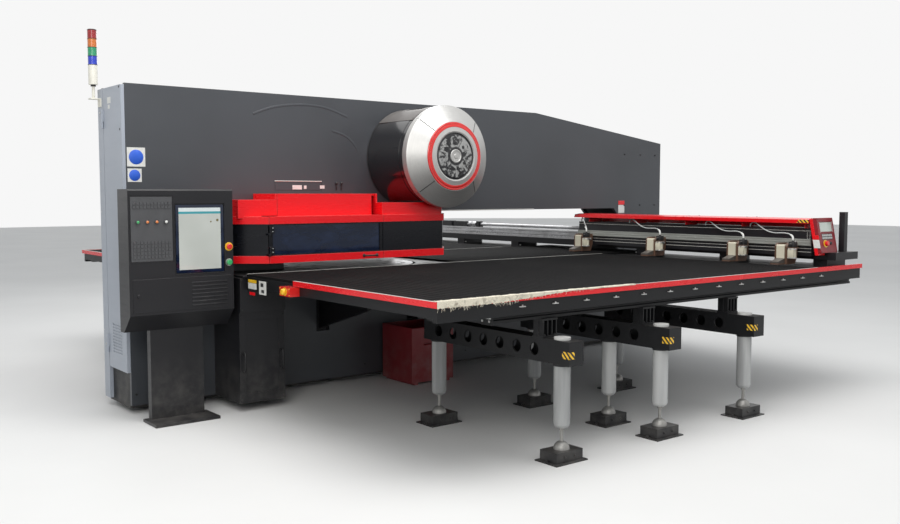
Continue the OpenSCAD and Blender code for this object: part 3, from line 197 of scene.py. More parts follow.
def enamel(name, colour, rough=0.34, dust=0.2, wear=0.35, peel=0.12, coat=0.0, cloud=0.08,
           bare=BARE, low_grime=0.0, tone=None, rim=None, shine=0.5):
    """Painted steel: clouded coat, orange peel, settled dust, rubbed edges and faint smears.
    tone(finish, colour) may repaint part of the surface before the dust goes on, and rim
    is the lighter colour of a painted highlight along the edges of the coat."""
    f = Finish(name)
    at = f.places()
    patches = f.noise(1.1, at, 3)
    mottle = f.noise(9, at, 4, 0.6)
    smear = f.noise(3.2, f.places((1.0, 1.0, 6.0)), 5, 0.65, 0.6)
    speck = f.noise(65, at, 3, 0.7)
    paint = f.blend(patches.rise(0.3, 0.7), shade(colour, 1 - cloud), shade(colour, 1 + cloud))
    # Painted highlight: the rim colour lightens the edges of the coat.
    if rim:
        paint = f.blend(f.edges(0.003) * 0.7, paint, rim)
    if tone:
        paint = tone(f, paint)
    up = f.facing(2).rise(0.35, 0.95)
    settled = (up * (0.45 + mottle.rise(0.3, 0.75) * 0.55) + smear.rise(0.62, 0.8) * 0.18) * dust
    if low_grime:
        height = f.spot()[2]
        settled = settled + (1 - height.rise(0.0, 0.55)) * mottle.rise(0.3, 0.8) * low_grime
    paint = f.blend(settled, paint, DUST)
    rubbed = f.edges(0.004) * (speck * 0.6 + mottle * 0.7).rise(0.68, 0.86) * wear
    paint = f.blend(rubbed, paint, bare)
    gloss = rough + settled * 0.35 + smear.rise(0.35, 0.75) * 0.07 - 0.03 + rubbed * 0.1
    grain = f.noise(900, at, 1)
    normal = f.bumped(grain, peel, 0.0006, f.rounded(0.002))
    return f.surface(Base_Color=paint, Roughness=gloss, Normal=normal, Coat_Weight=coat,
                     Coat_Roughness=0.12, Specular_IOR_Level=shine)


def ground_metal(name, colour, rough=0.3, along=(1, 1, 1), grease=0.3, metal=1.0):
    """Ground or turned steel: fine parallel marks, oil stains and darker pores."""
    f = Finish(name)
    marks = f.noise(60, f.places(along), 4, 0.75)
    stain = f.noise(4.5, f.places(), 5, 0.62, 0.4)
    pores = f.noise(240, f.places(), 2)
    base = f.blend(marks.rise(0.3, 0.7), shade(colour, 0.86), shade(colour, 1.1))
    base = f.blend(stain.rise(0.52, 0.74) * grease, base, (0.055, 0.048, 0.04))
    gloss = rough + (marks - 0.5) * 0.18 + stain.rise(0.5, 0.75) * 0.15
    normal = f.bumped(marks * 0.7 + pores * 0.3, 0.18, 0.0005, f.rounded(0.0012))
    return f.surface(Base_Color=base, Metallic=metal, Roughness=gloss, Normal=normal)


def turned_metal(name, colour, centre, axis, rough=0.28, metal=0.9, blot_and_reflection=0.12):
    """Metal finished on a lathe: marks run round an axis through centre."""
    f = Finish(name)
    x, y, z = f.parts(f.places(shift=tuple(-c for c in centre)))
    u, v, w = ((y, z, x), (x, z, y), (x, y, z))[axis]
    radius = (u * u + v * v).math("SQRT")
    turn = v.math("ARCTAN2", v, u)
    ring = f.add("ShaderNodeCombineXYZ", {}, {0: radius * 60, 1: turn * 0.9, 2: w * 60})
    marks = f.noise(5, ring, 4, 0.7)
    blots = f.noise(3.4, f.places(), 4, 0.6, 0.5)
    base = f.blend(marks.rise(0.32, 0.68), shade(colour, 0.92), shade(colour, 1.05))
    base = f.blend(blots.rise(0.5, 0.75) * blot_and_reflection, base, (0.16, 0.15, 0.14))
    gloss = rough + (marks - 0.5) * 0.1 + blots.rise(0.4, 0.7) * 0.06
    normal = f.bumped(marks, 0.06, 0.0004, f.rounded(0.0025))
    return f.surface(Base_Color=base, Metallic=metal, Roughness=gloss, Normal=normal)


def plastic(name, colour, rough=0.4, grain=0.1, coat=0.0, cloud=0.06, dust=0.1):
    """Moulded plastic or rubber: fine grain, faint blotches and dust on top."""
    f = Finish(name)
    at = f.places()
    blotch = f.noise(14, at, 4, 0.6)
    base = f.blend(blotch.rise(0.3, 0.7), shade(colour, 1 - cloud), shade(colour, 1 + cloud))
    settled = f.facing(2).rise(0.3, 0.95) * blotch.rise(0.25, 0.75) * dust
    base = f.blend(settled, base, DUST)
    normal = f.bumped(f.noise(1500, at, 1), grain, 0.0004, f.rounded(0.001))
    return f.surface(Base_Color=base, Roughness=rough + (blotch - 0.5) * 0.12 + settled * 0.3,
                     Coat_Weight=coat, Normal=normal)


def lens_plastic(name, colour):
    """Ribbed lens of a lamp that is off: darker between its ribs."""
    f = Finish(name)
    at = f.places()
    ribs = (f.parts(at)[2] * (2 * math.pi / LENS_RIB)).math("SINE")
    base = f.blend(ribs * 0.5 + 0.5, shade(colour, 0.75), shade(colour, 1.2))
    smear = f.noise(30, at, 3)
    return f.surface(Base_Color=base, Roughness=0.18 + smear * 0.12, Coat_Weight=0.6,
                     Coat_Roughness=0.08, Normal=f.bumped(ribs, 0.3, 0.0008))


def bristles(name):
    """Nylon brush: close tufts in rows, with paler dusty tips and metal swarf."""
    f = Finish(name)
    at = f.places()
    tuft = f.cells(150, at, 0.45)
    lay = f.noise(26, f.places((1.0, 0.35, 1.0)), 4, 0.65)
    field = f.noise(1.4, at, 4, 0.6)
    swarf = f.cells(95, at)
    dark, tip = (0.002, 0.002, 0.0022), (0.009, 0.009, 0.0096)
    base = f.blend((1 - tuft.rise(0.1, 0.6)) * lay.rise(0.3, 0.7), dark, tip)
    base = f.blend(field.rise(0.45, 0.8) * 0.2, base, (0.03, 0.028, 0.025))
    glint = (1 - swarf.rise(0.04, 0.09)) * lay.rise(0.62, 0.7)
    base = f.blend(glint * 0.7, base, (0.35, 0.34, 0.32))
    height = (1 - tuft) * 0.7 + lay * 0.6
    return f.surface(Base_Color=base, Roughness=0.82 - glint * 0.4, Specular_IOR_Level=0.12,
                     Normal=f.bumped(height, 0.85, 0.006))


# Places that the finishes share, in metres

LIP_TOP, BAND_TOP = 1.119, 1.350
LEG_TOP = 0.578
CAP_FOOT, CAP_TOP, CAP_REACH = 0.7200, 0.7350, 2.90
MOTOR = (-0.404, 0.0, 1.870)
TURRET = (-0.934, 0, 1.2)
CLAMP_Y = (-0.315, -1.225, -2.100, -2.557)
CYLINDER_NEAR, CYLINDER_FAR, CYLINDER_TOP = 0.061, 0.130, 1.135
VALVE_FOOT, JAW_FOOT = 1.1425, 1.050
HUB_INNER, HUB_OUTER = 0.070, 0.175
BAR_FACE, BAR_FOOT, BAR_TOP = 1.8035, 1.1495, 1.2055
STRIPE, LENS_RIB = 0.034, 0.009
ICON_LEFT, ICON_FOOT, ICON_TOP = -2.425, 1.36, 1.402
TEAL_FOOT, TITLE_FOOT = 1.432, 1.448

RED, RED_BARE = (0.74, 0.008, 0.013), (0.30, 0.05, 0.045)
BLACK, POWDER_BARE = (0.012, 0.012, 0.014), (0.20, 0.19, 0.18)


def dark_band(f, paint):
    """The guard's walls are black between its two red lips."""
    return f.blend(f.spot()[2].within(LIP_TOP, BAND_TOP, 0.0008), paint, (0.003, 0.0035, 0.006))


def pale_legs(f, paint):
    """The legs under the beams are bare grey steel, and the caps above the outer legs pale."""
    _, y, z = f.spot()
    streak = f.noise(14, f.places((1, 1, 0.08)), 3)
    steel = f.blend(streak.rise(0.3, 0.7), (0.26, 0.265, 0.265), (0.44, 0.445, 0.44))
    paint = f.blend(1 - z.rise(LEG_TOP - 0.002, LEG_TOP - 0.001), paint, steel)
    out = y.math("ABSOLUTE").rise(CAP_REACH, CAP_REACH + 0.001)
    caps = z.rise(CAP_FOOT, CAP_FOOT + 0.0003) * (1 - z.rise(CAP_TOP - 0.0005, CAP_TOP)) * out
    return f.blend(caps, paint, (0.60, 0.60, 0.58))


def clamp_tones(f, paint):
    """The air cylinders in the clamps are grey-green and their valves black."""
    _, y, z = f.spot()
    for middle in CLAMP_Y:
        near = y.within(middle - CYLINDER_FAR, middle - CYLINDER_NEAR, 0.001)
        cylinder = near * (1 - z.rise(CYLINDER_TOP - 0.0005, CYLINDER_TOP))
        paint = f.blend(cylinder, paint, (0.42, 0.46, 0.42))
        valve = near * z.rise(VALVE_FOOT, VALVE_FOOT + 0.0005)
        paint = f.blend(valve, paint, (0.016, 0.016, 0.018))
    return paint


def jaw_tone(f, paint):
    """The foot of a jaw is dark, worn steel."""
    foot = 1 - f.spot()[2].rise(JAW_FOOT, JAW_FOOT + 0.002)
    return f.blend(foot, paint, (0.085, 0.075, 0.066))


def hub_painted_reflection(f, paint):
    """Painted reflection: silver blotches on the hub's black flat round its middle."""
    x, _, z = f.parts(f.places(shift=(-MOTOR[0], 0, -MOTOR[2])))
    radius = (x * x + z * z).math("SQRT")
    blot_and_reflection = f.noise(11, f.places(), 6, 0.62, 1.6)
    mask = blot_and_reflection.rise(0.47, 0.56) * radius.within(HUB_INNER, HUB_OUTER, 0.010)
    return f.blend(mask * 0.85, paint, (0.40, 0.40, 0.39))


def bar_tone(f, paint):
    """The bar along the saddle that carries the clamps is light grey."""
    x, _, z = f.spot()
    bar = (1 - x.rise(BAR_FACE, BAR_FACE + 0.001)) * z.within(BAR_FOOT, BAR_TOP, 0.001)
    return f.blend(bar, paint, (0.30, 0.31, 0.29))


def hazard_paint(name):
    """Yellow and black slanted stripes with rubbed patches."""
    f = Finish(name)
    x, y, z = f.spot()
    phase = ((x - y + z) * (1 / STRIPE) + 40.2).math("FRACT")
    worn = f.noise(120, f.places(), 4, 0.7)
    base = f.blend(phase.rise(0.48, 0.52), (0.82, 0.50, 0.03), (0.014, 0.014, 0.016))
    base = f.blend(worn.rise(0.6, 0.72) * 0.5, base, (0.20, 0.18, 0.14))
    return f.surface(Base_Color=base, Roughness=0.45 + worn * 0.15,
                     Normal=f.bumped(worn, 0.1, 0.0005))


def cloth_tape(name):
    """Old fabric tape: woven threads, brown dirt and pale worn fibres."""
    f = Finish(name)
    weave = f.noise(900, f.places((1, 0.3, 0.3)), 2, 0.6)
    dirt = f.noise(28, f.places(), 5, 0.65, 0.6)
    lint = f.noise(160, f.places((0.4, 1, 1)), 4, 0.7)
    base = f.blend(weave.rise(0.3, 0.7), (0.54, 0.49, 0.38), (0.80, 0.75, 0.63))
    base = f.blend(dirt.rise(0.48, 0.75) * 0.75, base, (0.16, 0.13, 0.09))
    base = f.blend(lint.rise(0.6, 0.75) * 0.5, base, (0.78, 0.74, 0.64))
    return f.surface(Base_Color=base, Roughness=0.85, Normal=f.bumped(weave + lint, 0.5, 0.002))


def screen_light(name):
    """A machine screen: a pale work area under a teal band."""
    f = Finish(name)
    x, _, z = f.spot()
    glow = f.noise(2.2, f.places(), 2)
    base = f.blend(glow.rise(0.3, 0.7), (0.38, 0.40, 0.37), (0.48, 0.50, 0.47))
    icon = f.cells(24, f.places((1, 0, 1)))
    corner = x.rise(ICON_LEFT, ICON_LEFT + 0.005) * z.within(ICON_FOOT, ICON_TOP, 0.002)
    base = f.blend((1 - icon.rise(0.22, 0.25)) * corner, base, (0.12, 0.10, 0.03))
    base = f.blend(z.rise(TEAL_FOOT, TEAL_FOOT + 0.0005), base, (0.02, 0.24, 0.28))
    base = f.blend(z.rise(TITLE_FOOT, TITLE_FOOT + 0.0005), base, (0.55, 0.60, 0.60))
    return f.surface(Base_Color=base, Roughness=0.16, Coat_Weight=0.7,
                     Emission_Color=base, Emission_Strength=0.12)


def dark_glass(name, colour, rough):
    """Tinted sheet: smooth, with faint wiping marks."""
    f = Finish(name)
    wipe = f.noise(5, f.places((1, 1, 3), turn=(0, 0.5, 0)), 4, 0.6, 0.8)
    base = f.blend(wipe.rise(0.4, 0.75), colour, shade(colour, 1.8))
    return f.surface(Base_Color=base, Roughness=rough + wipe.rise(0.45, 0.8) * 0.10,
                     Coat_Weight=0.3, Coat_Roughness=0.03, Specular_IOR_Level=0.35)


COATS = {
    "slate": enamel("slate_enamel", (0.050, 0.054, 0.061), 0.36, dust=0.10, wear=0.25,
                    peel=0.08, cloud=0.10),
    "pale": enamel("pale_enamel", (0.33, 0.36, 0.41), 0.36, dust=0.10, wear=0.2,
                   cloud=0.07, low_grime=0.12),
    "red": enamel("bright_red_enamel", RED, 0.27, dust=0.05, wear=0.3, coat=0.25,
                  cloud=0.04, peel=0.06, bare=RED_BARE),
    # The guard's rim colour is a painted highlight along its edges.
    "guard": enamel("guard_enamel", RED, 0.27, dust=0.04, wear=0.3, shine=0.3, cloud=0.04,
                    peel=0.06, bare=RED_BARE, tone=dark_band,
                    rim=(0.95, 0.22, 0.20)),
    "dull_red": enamel("dark_red_enamel", (0.23, 0.014, 0.020), 0.36, dust=0.18, wear=0.4,
                       low_grime=0.25),
    "black": enamel("black_enamel", BLACK, 0.33, dust=0.08, wear=0.45, low_grime=0.15, shine=0.35,
                    bare=(0.22, 0.21, 0.20)),
    "frame": enamel("frame_powder_coat", (0.007, 0.0073, 0.0085), 0.44, dust=0.07, shine=0.28,
                    wear=0.5, peel=0.25, low_grime=0.25, bare=POWDER_BARE),
    "supports": enamel("support_powder_coat", (0.008, 0.0083, 0.0095), 0.42, dust=0.10, shine=0.3,
                       wear=0.5, peel=0.25, bare=POWDER_BARE, tone=pale_legs),
    "housing": enamel("housing_lacquer", (0.008, 0.008, 0.010), 0.20, dust=0.10, wear=0.0,
                      peel=0.02, coat=1.0, cloud=0.2),
    # The hub's silver blotches are a painted reflection, not real wear.
    "hub": enamel("hub_enamel", (0.014, 0.014, 0.016), 0.3, dust=0.05, wear=0.2, tone=hub_painted_reflection),
    "bezel": turned_metal("bezel_silver", (0.50, 0.495, 0.48), MOTOR, 1, 0.36, 0.6, 0.06),
    "turret": turned_metal("turret_steel", (0.42, 0.42, 0.43), TURRET, 2, 0.3, 0.95,
                           0.45),
    "steel": ground_metal("ground_steel", (0.46, 0.46, 0.47), 0.28, (1, 0.05, 1)),
    "punch": ground_metal("tool_steel", (0.40, 0.38, 0.34), 0.33, (1, 1, 0.1), 0.5),
    "zinc": ground_metal("zinc_plate", (0.58, 0.58, 0.57), 0.34, (1, 1, 1), 0.15),
    "foot": ground_metal("foot_steel", (0.30, 0.295, 0.28), 0.46, (1, 1, 0.2), 0.6, 0.5),
    "bristle": bristles("brush_bristles"),
    "bronze": enamel("clamp_brown", (0.115, 0.062, 0.040), 0.38, dust=0.2, wear=0.6,
                     bare=(0.42, 0.30, 0.20), tone=clamp_tones),
    "saddle": enamel("saddle_enamel", BLACK, 0.33, dust=0.12, wear=0.45, tone=bar_tone),
    "cream": enamel("jaw_cream", (0.60, 0.56, 0.44), 0.40, dust=0.1, wear=0.4, cloud=0.1,
                    tone=jaw_tone),
    "white": plastic("white_plastic", (0.66, 0.66, 0.63), 0.42),
    "grey": plastic("pale_grey_plastic", (0.46, 0.47, 0.46), 0.4, 0.15),
    "lcd": plastic("display_plastic", (0.50, 0.55, 0.50), 0.15, 0.02, coat=0.6),
    # The worn edge strip also gives the pale colour of painted highlight lines.
    "edging": ground_metal("worn_edge_strip_and_highlight", (0.56, 0.55, 0.51), 0.42, (0.05, 1, 1), 0.35, 0.1),
    "bar": ground_metal("carriage_bar", (0.36, 0.37, 0.34), 0.38, (1, 0.05, 1), 0.3, 0.35),
    "top_panel": enamel("drive_panel_enamel", (0.085, 0.078, 0.075), 0.52, dust=0.18, wear=0.3,
                        peel=0.2, cloud=0.15),
    "tape": cloth_tape("cloth_tape"),
    "hazard": hazard_paint("hazard_tape"),
    "picture": screen_light("console_picture"),
    "rubber": plastic("black_rubber", (0.016, 0.016, 0.017), 0.6, 0.25, dust=0.3),
    "hose": plastic("grey_hose", (0.50, 0.51, 0.50), 0.36, 0.05, coat=0.3),
    "keys": plastic("dark_key_plastic", (0.060, 0.061, 0.065), 0.5, 0.3),
    "stop_red": plastic("stop_red_plastic", (0.62, 0.016, 0.014), 0.24, 0.04, coat=0.5),
    "yellow": plastic("yellow_plastic", (0.80, 0.48, 0.02), 0.34, 0.06, coat=0.3),
    "green": plastic("green_plastic", (0.03, 0.33, 0.10), 0.28, 0.04, coat=0.4),
    "blue": plastic("blue_plastic", (0.02, 0.10, 0.55), 0.4, 0.05),
    "lens_red": lens_plastic("red_lens", (0.32, 0.015, 0.018)),
    "lens_orange": lens_plastic("orange_lens", (0.60, 0.17, 0.03)),
    "lens_green": lens_plastic("green_lens", (0.02, 0.30, 0.14)),
    "lens_blue": lens_plastic("blue_lens", (0.02, 0.05, 0.50)),
    "tower": plastic("tower_cream", (0.72, 0.70, 0.62), 0.42, 0.08),
    "window": dark_glass("tinted_window", (0.004, 0.009, 0.026), 0.06),
}


def dress(finish, *nodes):
    """Gives CAD nodes a finish."""
    for node in nodes:
        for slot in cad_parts[node].material_slots:
            slot.material = COATS[finish]


dress("frame", "bridge_frame", "front_table", "rear_table")
dress("slate", "front_cover", "rear_cover")
dress("pale", "end_strip", "cabinet_door")
dress("tower", "beacon_base")
for colour in ("blue", "green", "orange", "red"):
    dress("lens_" + colour, "beacon_" + colour)
dress("housing", "motor_housing_front", "motor_housing_rear")
dress("hub", "bezel_hub")
dress("bezel", "bezel_front")
dress("stop_red", "bezel_ring", "control_stop", "console_stop", "table_stop_box")
dress("guard", "guard_left_panel", "guard_door", "guard_right_panel", "guard_rear")
dress("window", "guard_window", "console_screen")
dress("turret", "upper_turret", "lower_turret")
dress("punch", "punch_set")
dress("steel", "ram", "guide_beam", "ball_screw")
dress("black", "base_cover", "centre_table", "foot_blocks", "carriage_base", "drive_motor",
      "console_cabinet")
dress("saddle", "carriage_saddle")
dress("bristle", "centre_brush", "front_brush", "rear_brush")
dress("red", "front_trim", "rear_trim", "carriage_cover", "end_cap")
dress("yellow", "table_stop_button")
dress("supports", "support_beams_front", "support_beams_rear")
dress("foot", "levelling_feet")
dress("dull_red", "control_box", "scrap_bin")
dress("bronze", "clamp_bodies")
dress("cream", "clamp_jaw_1", "clamp_jaw_2", "clamp_jaw_3", "clamp_jaw_4")
dress("hose", "clamp_hoses")
dress("keys", "console_keys")
dress("green", "console_start")

# Shapes

BRIDGE_MIDDLE = 2850
TO_FRAME = Matrix.Scale(0.001, 4) @ Matrix.Translation((-BRIDGE_MIDDLE, 0, 0))
RIGHT, LEFT = (1, 0, 0), (-1, 0, 0)
REAR, OUT = (0, 1, 0), (0, -1, 0)
UP = (0, 0, 1)
WASHER = 2.2


def smooth_path(points, steps):
    """More points on one smooth curve through the given ones."""
    ends = [points[0], *points, points[-1]]
    made = []
    for a, b, c, d in zip(ends, ends[1:], ends[2:], ends[3:]):
        a, b, c, d = (Vector(p) for p in (a, b, c, d))
        for i in range(steps):
            t = i / steps
            made.append(0.5 * (2 * b + (c - a) * t + (2 * a - 5 * b + 4 * c - d) * t * t
                               + (3 * b - a - 3 * c + d) * t ** 3))
    return made + [Vector(points[-1])]


def round_line(name, points, radius, resolution):
    """A curve with a round section along points."""
    line = bpy.data.curves.new(name, "CURVE")
    line.dimensions = "3D"
    line.bevel_depth, line.bevel_resolution, line.use_fill_caps = radius, resolution, True
    spline = line.splines.new("POLY")
    spline.points.add(len(points) - 1)
    for point, place in zip(spline.points, points):
        point.co = (*place, 1)
    return line


def rectangle(a0, a1, b0, b1):
    return [(a0, b0), (a1, b0), (a1, b1), (a0, b1)]


def chamfered(inner, outer, height, edge=0.4):
    """The profile of a disc, or of a ring round a hole, with its upper outer edge cut off."""
    return [(inner, 0), (outer, 0), (outer, height - edge), (outer - edge, height),
            (inner, height)]


def grid(*axes):
    """Every place on a grid: X, Y and Z each give one number or several."""
    return product(*(n if hasattr(n, "__iter__") else (n,) for n in axes))


def aimed(axis):
    """The turn that brings Z onto a direction."""
    return Vector(UP).rotation_difference(Vector(axis)).to_matrix().to_4x4()


def soften(part, edges, width, segments):
    bmesh.ops.bevel(part, geom=list(edges), offset=width, affect="EDGES", segments=segments,
                    profile=0.5, material=-1, clamp_overlap=True)


class Shape:
    """A piece in the making, in millimetres from the bridge's left end."""

    def __init__(self):
        self.bm = bmesh.new()

    def take(self, part, matrix=None):
        """Adds a finished form, with its faces turned outwards."""
        if matrix is not None:
            bmesh.ops.transform(part, matrix=matrix, verts=part.verts)
        bmesh.ops.remove_doubles(part, verts=part.verts, dist=0.005)
        bmesh.ops.recalc_face_normals(part, faces=part.faces)
        mesh = bpy.data.meshes.new("form")
        part.to_mesh(mesh)
        part.free()
        self.bm.from_mesh(mesh)
        bpy.data.meshes.remove(mesh)

    def block(self, low, high, edge=2.0):
        """A box between two corners, with rounded edges."""
        low, high = Vector(low), Vector(high)
        part = bmesh.new()
        bmesh.ops.create_cube(part, size=1)
        bmesh.ops.scale(part, vec=high - low, verts=part.verts)
        soften(part, part.edges, edge, 2)
        self.take(part, Matrix.Translation((low + high) / 2))

    def turned(self, profile, centre, axis=UP, steps=32, ring=False):
        """A round form: points of radius and height spun about an axis."""
        part = bmesh.new()
        verts = [part.verts.new((r, 0, h)) for r, h in profile]
        edges = [part.edges.new(pair) for pair in zip(verts, verts[1:])]
        if ring:
            edges.append(part.edges.new((verts[-1], verts[0])))
        bmesh.ops.spin(part, geom=verts + edges, cent=(0, 0, 0), axis=UP,
                       angle=2 * math.pi, steps=steps, use_merge=True)
        self.take(part, Matrix.Translation(centre) @ aimed(axis))

    def raised(self, part, thickness, origin, edge, u, v):
        """Flat faces, drawn along u and v from origin, raised along their cross."""
        made = bmesh.ops.extrude_face_region(part, geom=part.faces[:])
        lifted = [g for g in made["geom"] if isinstance(g, bmesh.types.BMVert)]
        bmesh.ops.translate(part, vec=(0, 0, thickness), verts=lifted)
        if edge:
            rim = [e for e in part.edges if all(w.co.z > thickness / 2 for w in e.verts)
                   and e.calc_face_angle(0) > 0.5]
            soften(part, rim, edge, 1)
        u, v = Vector(u).normalized(), Vector(v).normalized()
        basis = Matrix((u, v, u.cross(v))).transposed().to_4x4()
        self.take(part, Matrix.Translation(origin) @ basis)

    def plate(self, outline, thickness, origin, edge, u=RIGHT, v=UP):
        """A flat outline with a thickness and its upper rim cut off by edge."""
        part = bmesh.new()
        part.faces.new([part.verts.new((a, b, 0)) for a, b in outline])
        self.raised(part, thickness, origin, edge, u, v)

    def border(self, size, width, thickness, origin, edge=1.0, v=UP):
        """A flat rectangular frame: its outer size, the width of its bars and its thickness.
        Only its outer walls come out, because the face has no normal yet when it is inset."""
        part = bmesh.new()
        face = part.faces.new([part.verts.new((a, b, 0))
                               for a, b in rectangle(0, size[0], 0, size[1])])
        bmesh.ops.inset_region(part, faces=[face], thickness=width, use_even_offset=True,
                               use_boundary=True)
        bmesh.ops.delete(part, geom=[face], context="FACES")
        self.raised(part, thickness, origin, edge, RIGHT, v)

    def tube(self, points, radius, resolution=2, flat=None):
        """A round bar along points. flat gives an axis, a place on it and a squeeze."""
        line = round_line("line", points, radius, resolution)
        holder = bpy.data.objects.new("line", line)
        mesh = bpy.data.meshes.new_from_object(holder)
        part = bmesh.new()
        part.from_mesh(mesh)
        bpy.data.objects.remove(holder)
        bpy.data.curves.remove(line)
        bpy.data.meshes.remove(mesh)
        if flat:
            axis, level, squeeze = flat
            for vert in part.verts:
                vert.co[axis] = level + (vert.co[axis] - level) * squeeze
        self.take(part)

    def bolts(self, places, axis, across, height):
        """Hexagon heads on washers."""
        for place in places:
            self.turned(chamfered(0, across * 0.78, WASHER, 0.8), place, axis, 20)
            head = bmesh.new()
            bmesh.ops.create_cone(head, cap_ends=True, segments=6, radius1=across / 1.73,
                                  radius2=across / 1.73, depth=height)
            top = [e for e in head.edges if all(w.co.z > 0 for w in e.verts)]
            soften(head, top, across * 0.07, 1)
            bmesh.ops.translate(head, vec=(0, 0, height / 2 + WASHER), verts=head.verts)
            self.take(head, Matrix.Translation(place) @ aimed(axis))

    def screws(self, places, axis, r, height):
        """Round heads with a sunk middle."""
        for place in places:
            self.turned([(0, 0), (r, 0), (r, height - 0.8), (r - 0.8, height),
                         (r * 0.55, height), (r * 0.5, height * 0.45), (0, height * 0.45)],
                        place, axis, 18)

    def done(self, name, body, slot, finish, crease=38, mirrored=False):
        """Makes the shape a piece that rides on a body. mirrored repeats it across the bridge."""
        if mirrored:
            part = self.bm.copy()
            bmesh.ops.scale(part, vec=(1, -1, 1), verts=part.verts)
            self.take(part)
        bmesh.ops.transform(self.bm, matrix=TO_FRAME, verts=self.bm.verts)
        mesh = bpy.data.meshes.new(name)
        self.bm.to_mesh(mesh)
        self.bm.free()
        mesh.materials.append(COATS[finish])
        mesh.shade_smooth()
        mesh.set_sharp_from_angle(angle=math.radians(crease))
        piece = stand(name, mesh)
        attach(piece, body)


# Air hoses

SADDLE_LEFT, SADDLE_REAR, SADDLE_MARGIN = 1.804, -0.170, 0.024
LONG_HOSE = ((0.012, 0.404, 1.290), (0.012, 0.404, 1.299), (0.010, 0.400, 1.310),
             (0.006, 0.390, 1.320), (0.001, 0.376, 1.327), (-0.005, 0.360, 1.329),
             (-0.011, 0.342, 1.326), (-0.017, 0.322, 1.318), (-0.022, 0.300, 1.306),
             (-0.027, 0.274, 1.291), (-0.033, 0.244, 1.276), (-0.040, 0.208, 1.262),
             (-0.049, 0.164, 1.252), (-0.060, 0.114, 1.248), (-0.075, 0.064, 1.250),
             (-0.094, 0.014, 1.251), (-0.113, -0.032, 1.248), (-0.129, -0.062, 1.240),
             (-0.143, -0.086, 1.230), (-0.149, -0.095, 1.214), (-0.149, -0.095, 1.198))
SHORT_HOSE = ((0.012, 0.121, 1.290), (0.012, 0.121, 1.299), (0.009, 0.117, 1.310),
              (0.003, 0.109, 1.320), (-0.006, 0.097, 1.327), (-0.016, 0.083, 1.328),
              (-0.027, 0.068, 1.324), (-0.038, 0.052, 1.316), (-0.049, 0.036, 1.304),
              (-0.060, 0.020, 1.291), (-0.072, 0.003, 1.278), (-0.085, -0.015, 1.267),
              (-0.099, -0.034, 1.258), (-0.114, -0.054, 1.251), (-0.128, -0.072, 1.241),
              (-0.142, -0.088, 1.230), (-0.149, -0.095, 1.214), (-0.149, -0.095, 1.198))
for number, middle in enumerate(CLAMP_Y, 1):
    room = SADDLE_REAR - SADDLE_MARGIN - middle
    points = SHORT_HOSE if room < LONG_HOSE[0][1] else LONG_HOSE
    reach = min(1, room / points[0][1])
    route = smooth_path([(SADDLE_LEFT + x, middle + (y * reach if y > 0 else y), z)
                         for x, y, z in points], 3)
    hose = stand(f"air_hose_{number}", round_line(f"air_hose_{number}", route, 0.005, 4))
    hose.data.materials.append(COATS["hose"])
    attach(hose, "clamp_carriage")
    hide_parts("clamp_hoses")
    sum((b - a).length for a, b in zip(route, route[1:]))

# Bridge covers

FRONT = -240
swages = Shape()
for line in (((1005, 2177), (1192, 2240), (1421, 2269), (1639, 2258), (1846, 2196)),
             ((1702, 2077), (1806, 2049), (1883, 2003), (1945, 1925), (1979, 1825))):
    swages.tube(smooth_path([(x, FRONT, z) for x, z in line], 8), 10, 3, (1, FRONT, 0.22))
swages.done("cover_swages", "machine_frame", "cover_slate", "slate")

# Pale strips along the top edges of the hatch and of the throat: painted highlight lines.
highlight_and_shade_strips = Shape()
for level in (FRONT, -FRONT):
    highlight_and_shade_strips.tube([(1180, level, 1668), (1600, level, 1668)], 4)
    highlight_and_shade_strips.tube([(2660, level, 1422), (3950, level, 1422)], 4)
highlight_and_shade_strips.done("cover_highlight_lines", "machine_frame", "zinc_steel", "edging")

fixings = Shape()
fixings.screws(grid((60, 1100, 2000, 3100, 3960, 4700, 5100, 5600), FRONT, (140, 720)),
               OUT, 8, 5)
fixings.screws(grid((5250, 5500, 5740), FRONT, (1000, 1450, 1980)), OUT, 8, 5)
fixings.done("cover_screws", "machine_frame", "black_paint", "black", mirrored=True)

knobs = Shape()
for x in (1735, 1783):
    knobs.turned([(0, 0), (6, 0), (6, 4), (10, 7), (11, 13), (8, 18), (0, 19)],
                 (x, FRONT, 1654), OUT, 20)
    knobs.tube([(x, FRONT - 7, 1648), (x, FRONT - 7, 1608), (x, FRONT + 1, 1598)], 3.5)
knobs.done("hatch_knobs", "machine_frame", "black_paint", "rubber")

plates = Shape()
for outline in ((1336, 1420, 1603, 1637), (1438, 1462, 1608, 1634), (1585, 1627, 1610, 1636),
                (5163, 5257, 1370, 1452), (34, 164, 1760, 1894), (36, 136, 1652, 1746)):
    plates.plate(rectangle(*outline), 1.2, (0, FRONT, 0), 0.4)
plates.done("marking_plates", "machine_frame", "jaw_cream", "white")

heads = Shape()
heads.plate(rectangle(5163, 5257, 1455, 1497), 1.2, (0, FRONT, 0), 0.4)
heads.done("marking_plate_head", "machine_frame", "signal_red", "red")

discs = Shape()
for x, z, r in ((99, 1827, 52), (86, 1699, 40)):
    discs.turned([(0, 0), (r, 0), (r, 0.5), (r - 0.4, 0.8), (0, 0.8)], (x, FRONT - 1.1, z),
                 OUT, 48)
discs.done("blue_discs", "machine_frame", "lens_blue", "blue")

# Cabinet end and signal tower

latches = Shape()
for z in (2314, 2019, 720):
    latches.turned([(0, 0), (8.6, 0), (8.6, 5), (7.6, 6), (5, 6), (4.4, 5), (0, 5)],
                   (5, -208, z), LEFT, 24)
    latches.block((-1.2, -213, z - 1.3), (1, -203, z + 1.3), 0.5)
latches.done("door_latches", "cabinet_door", "black_paint", "rubber")

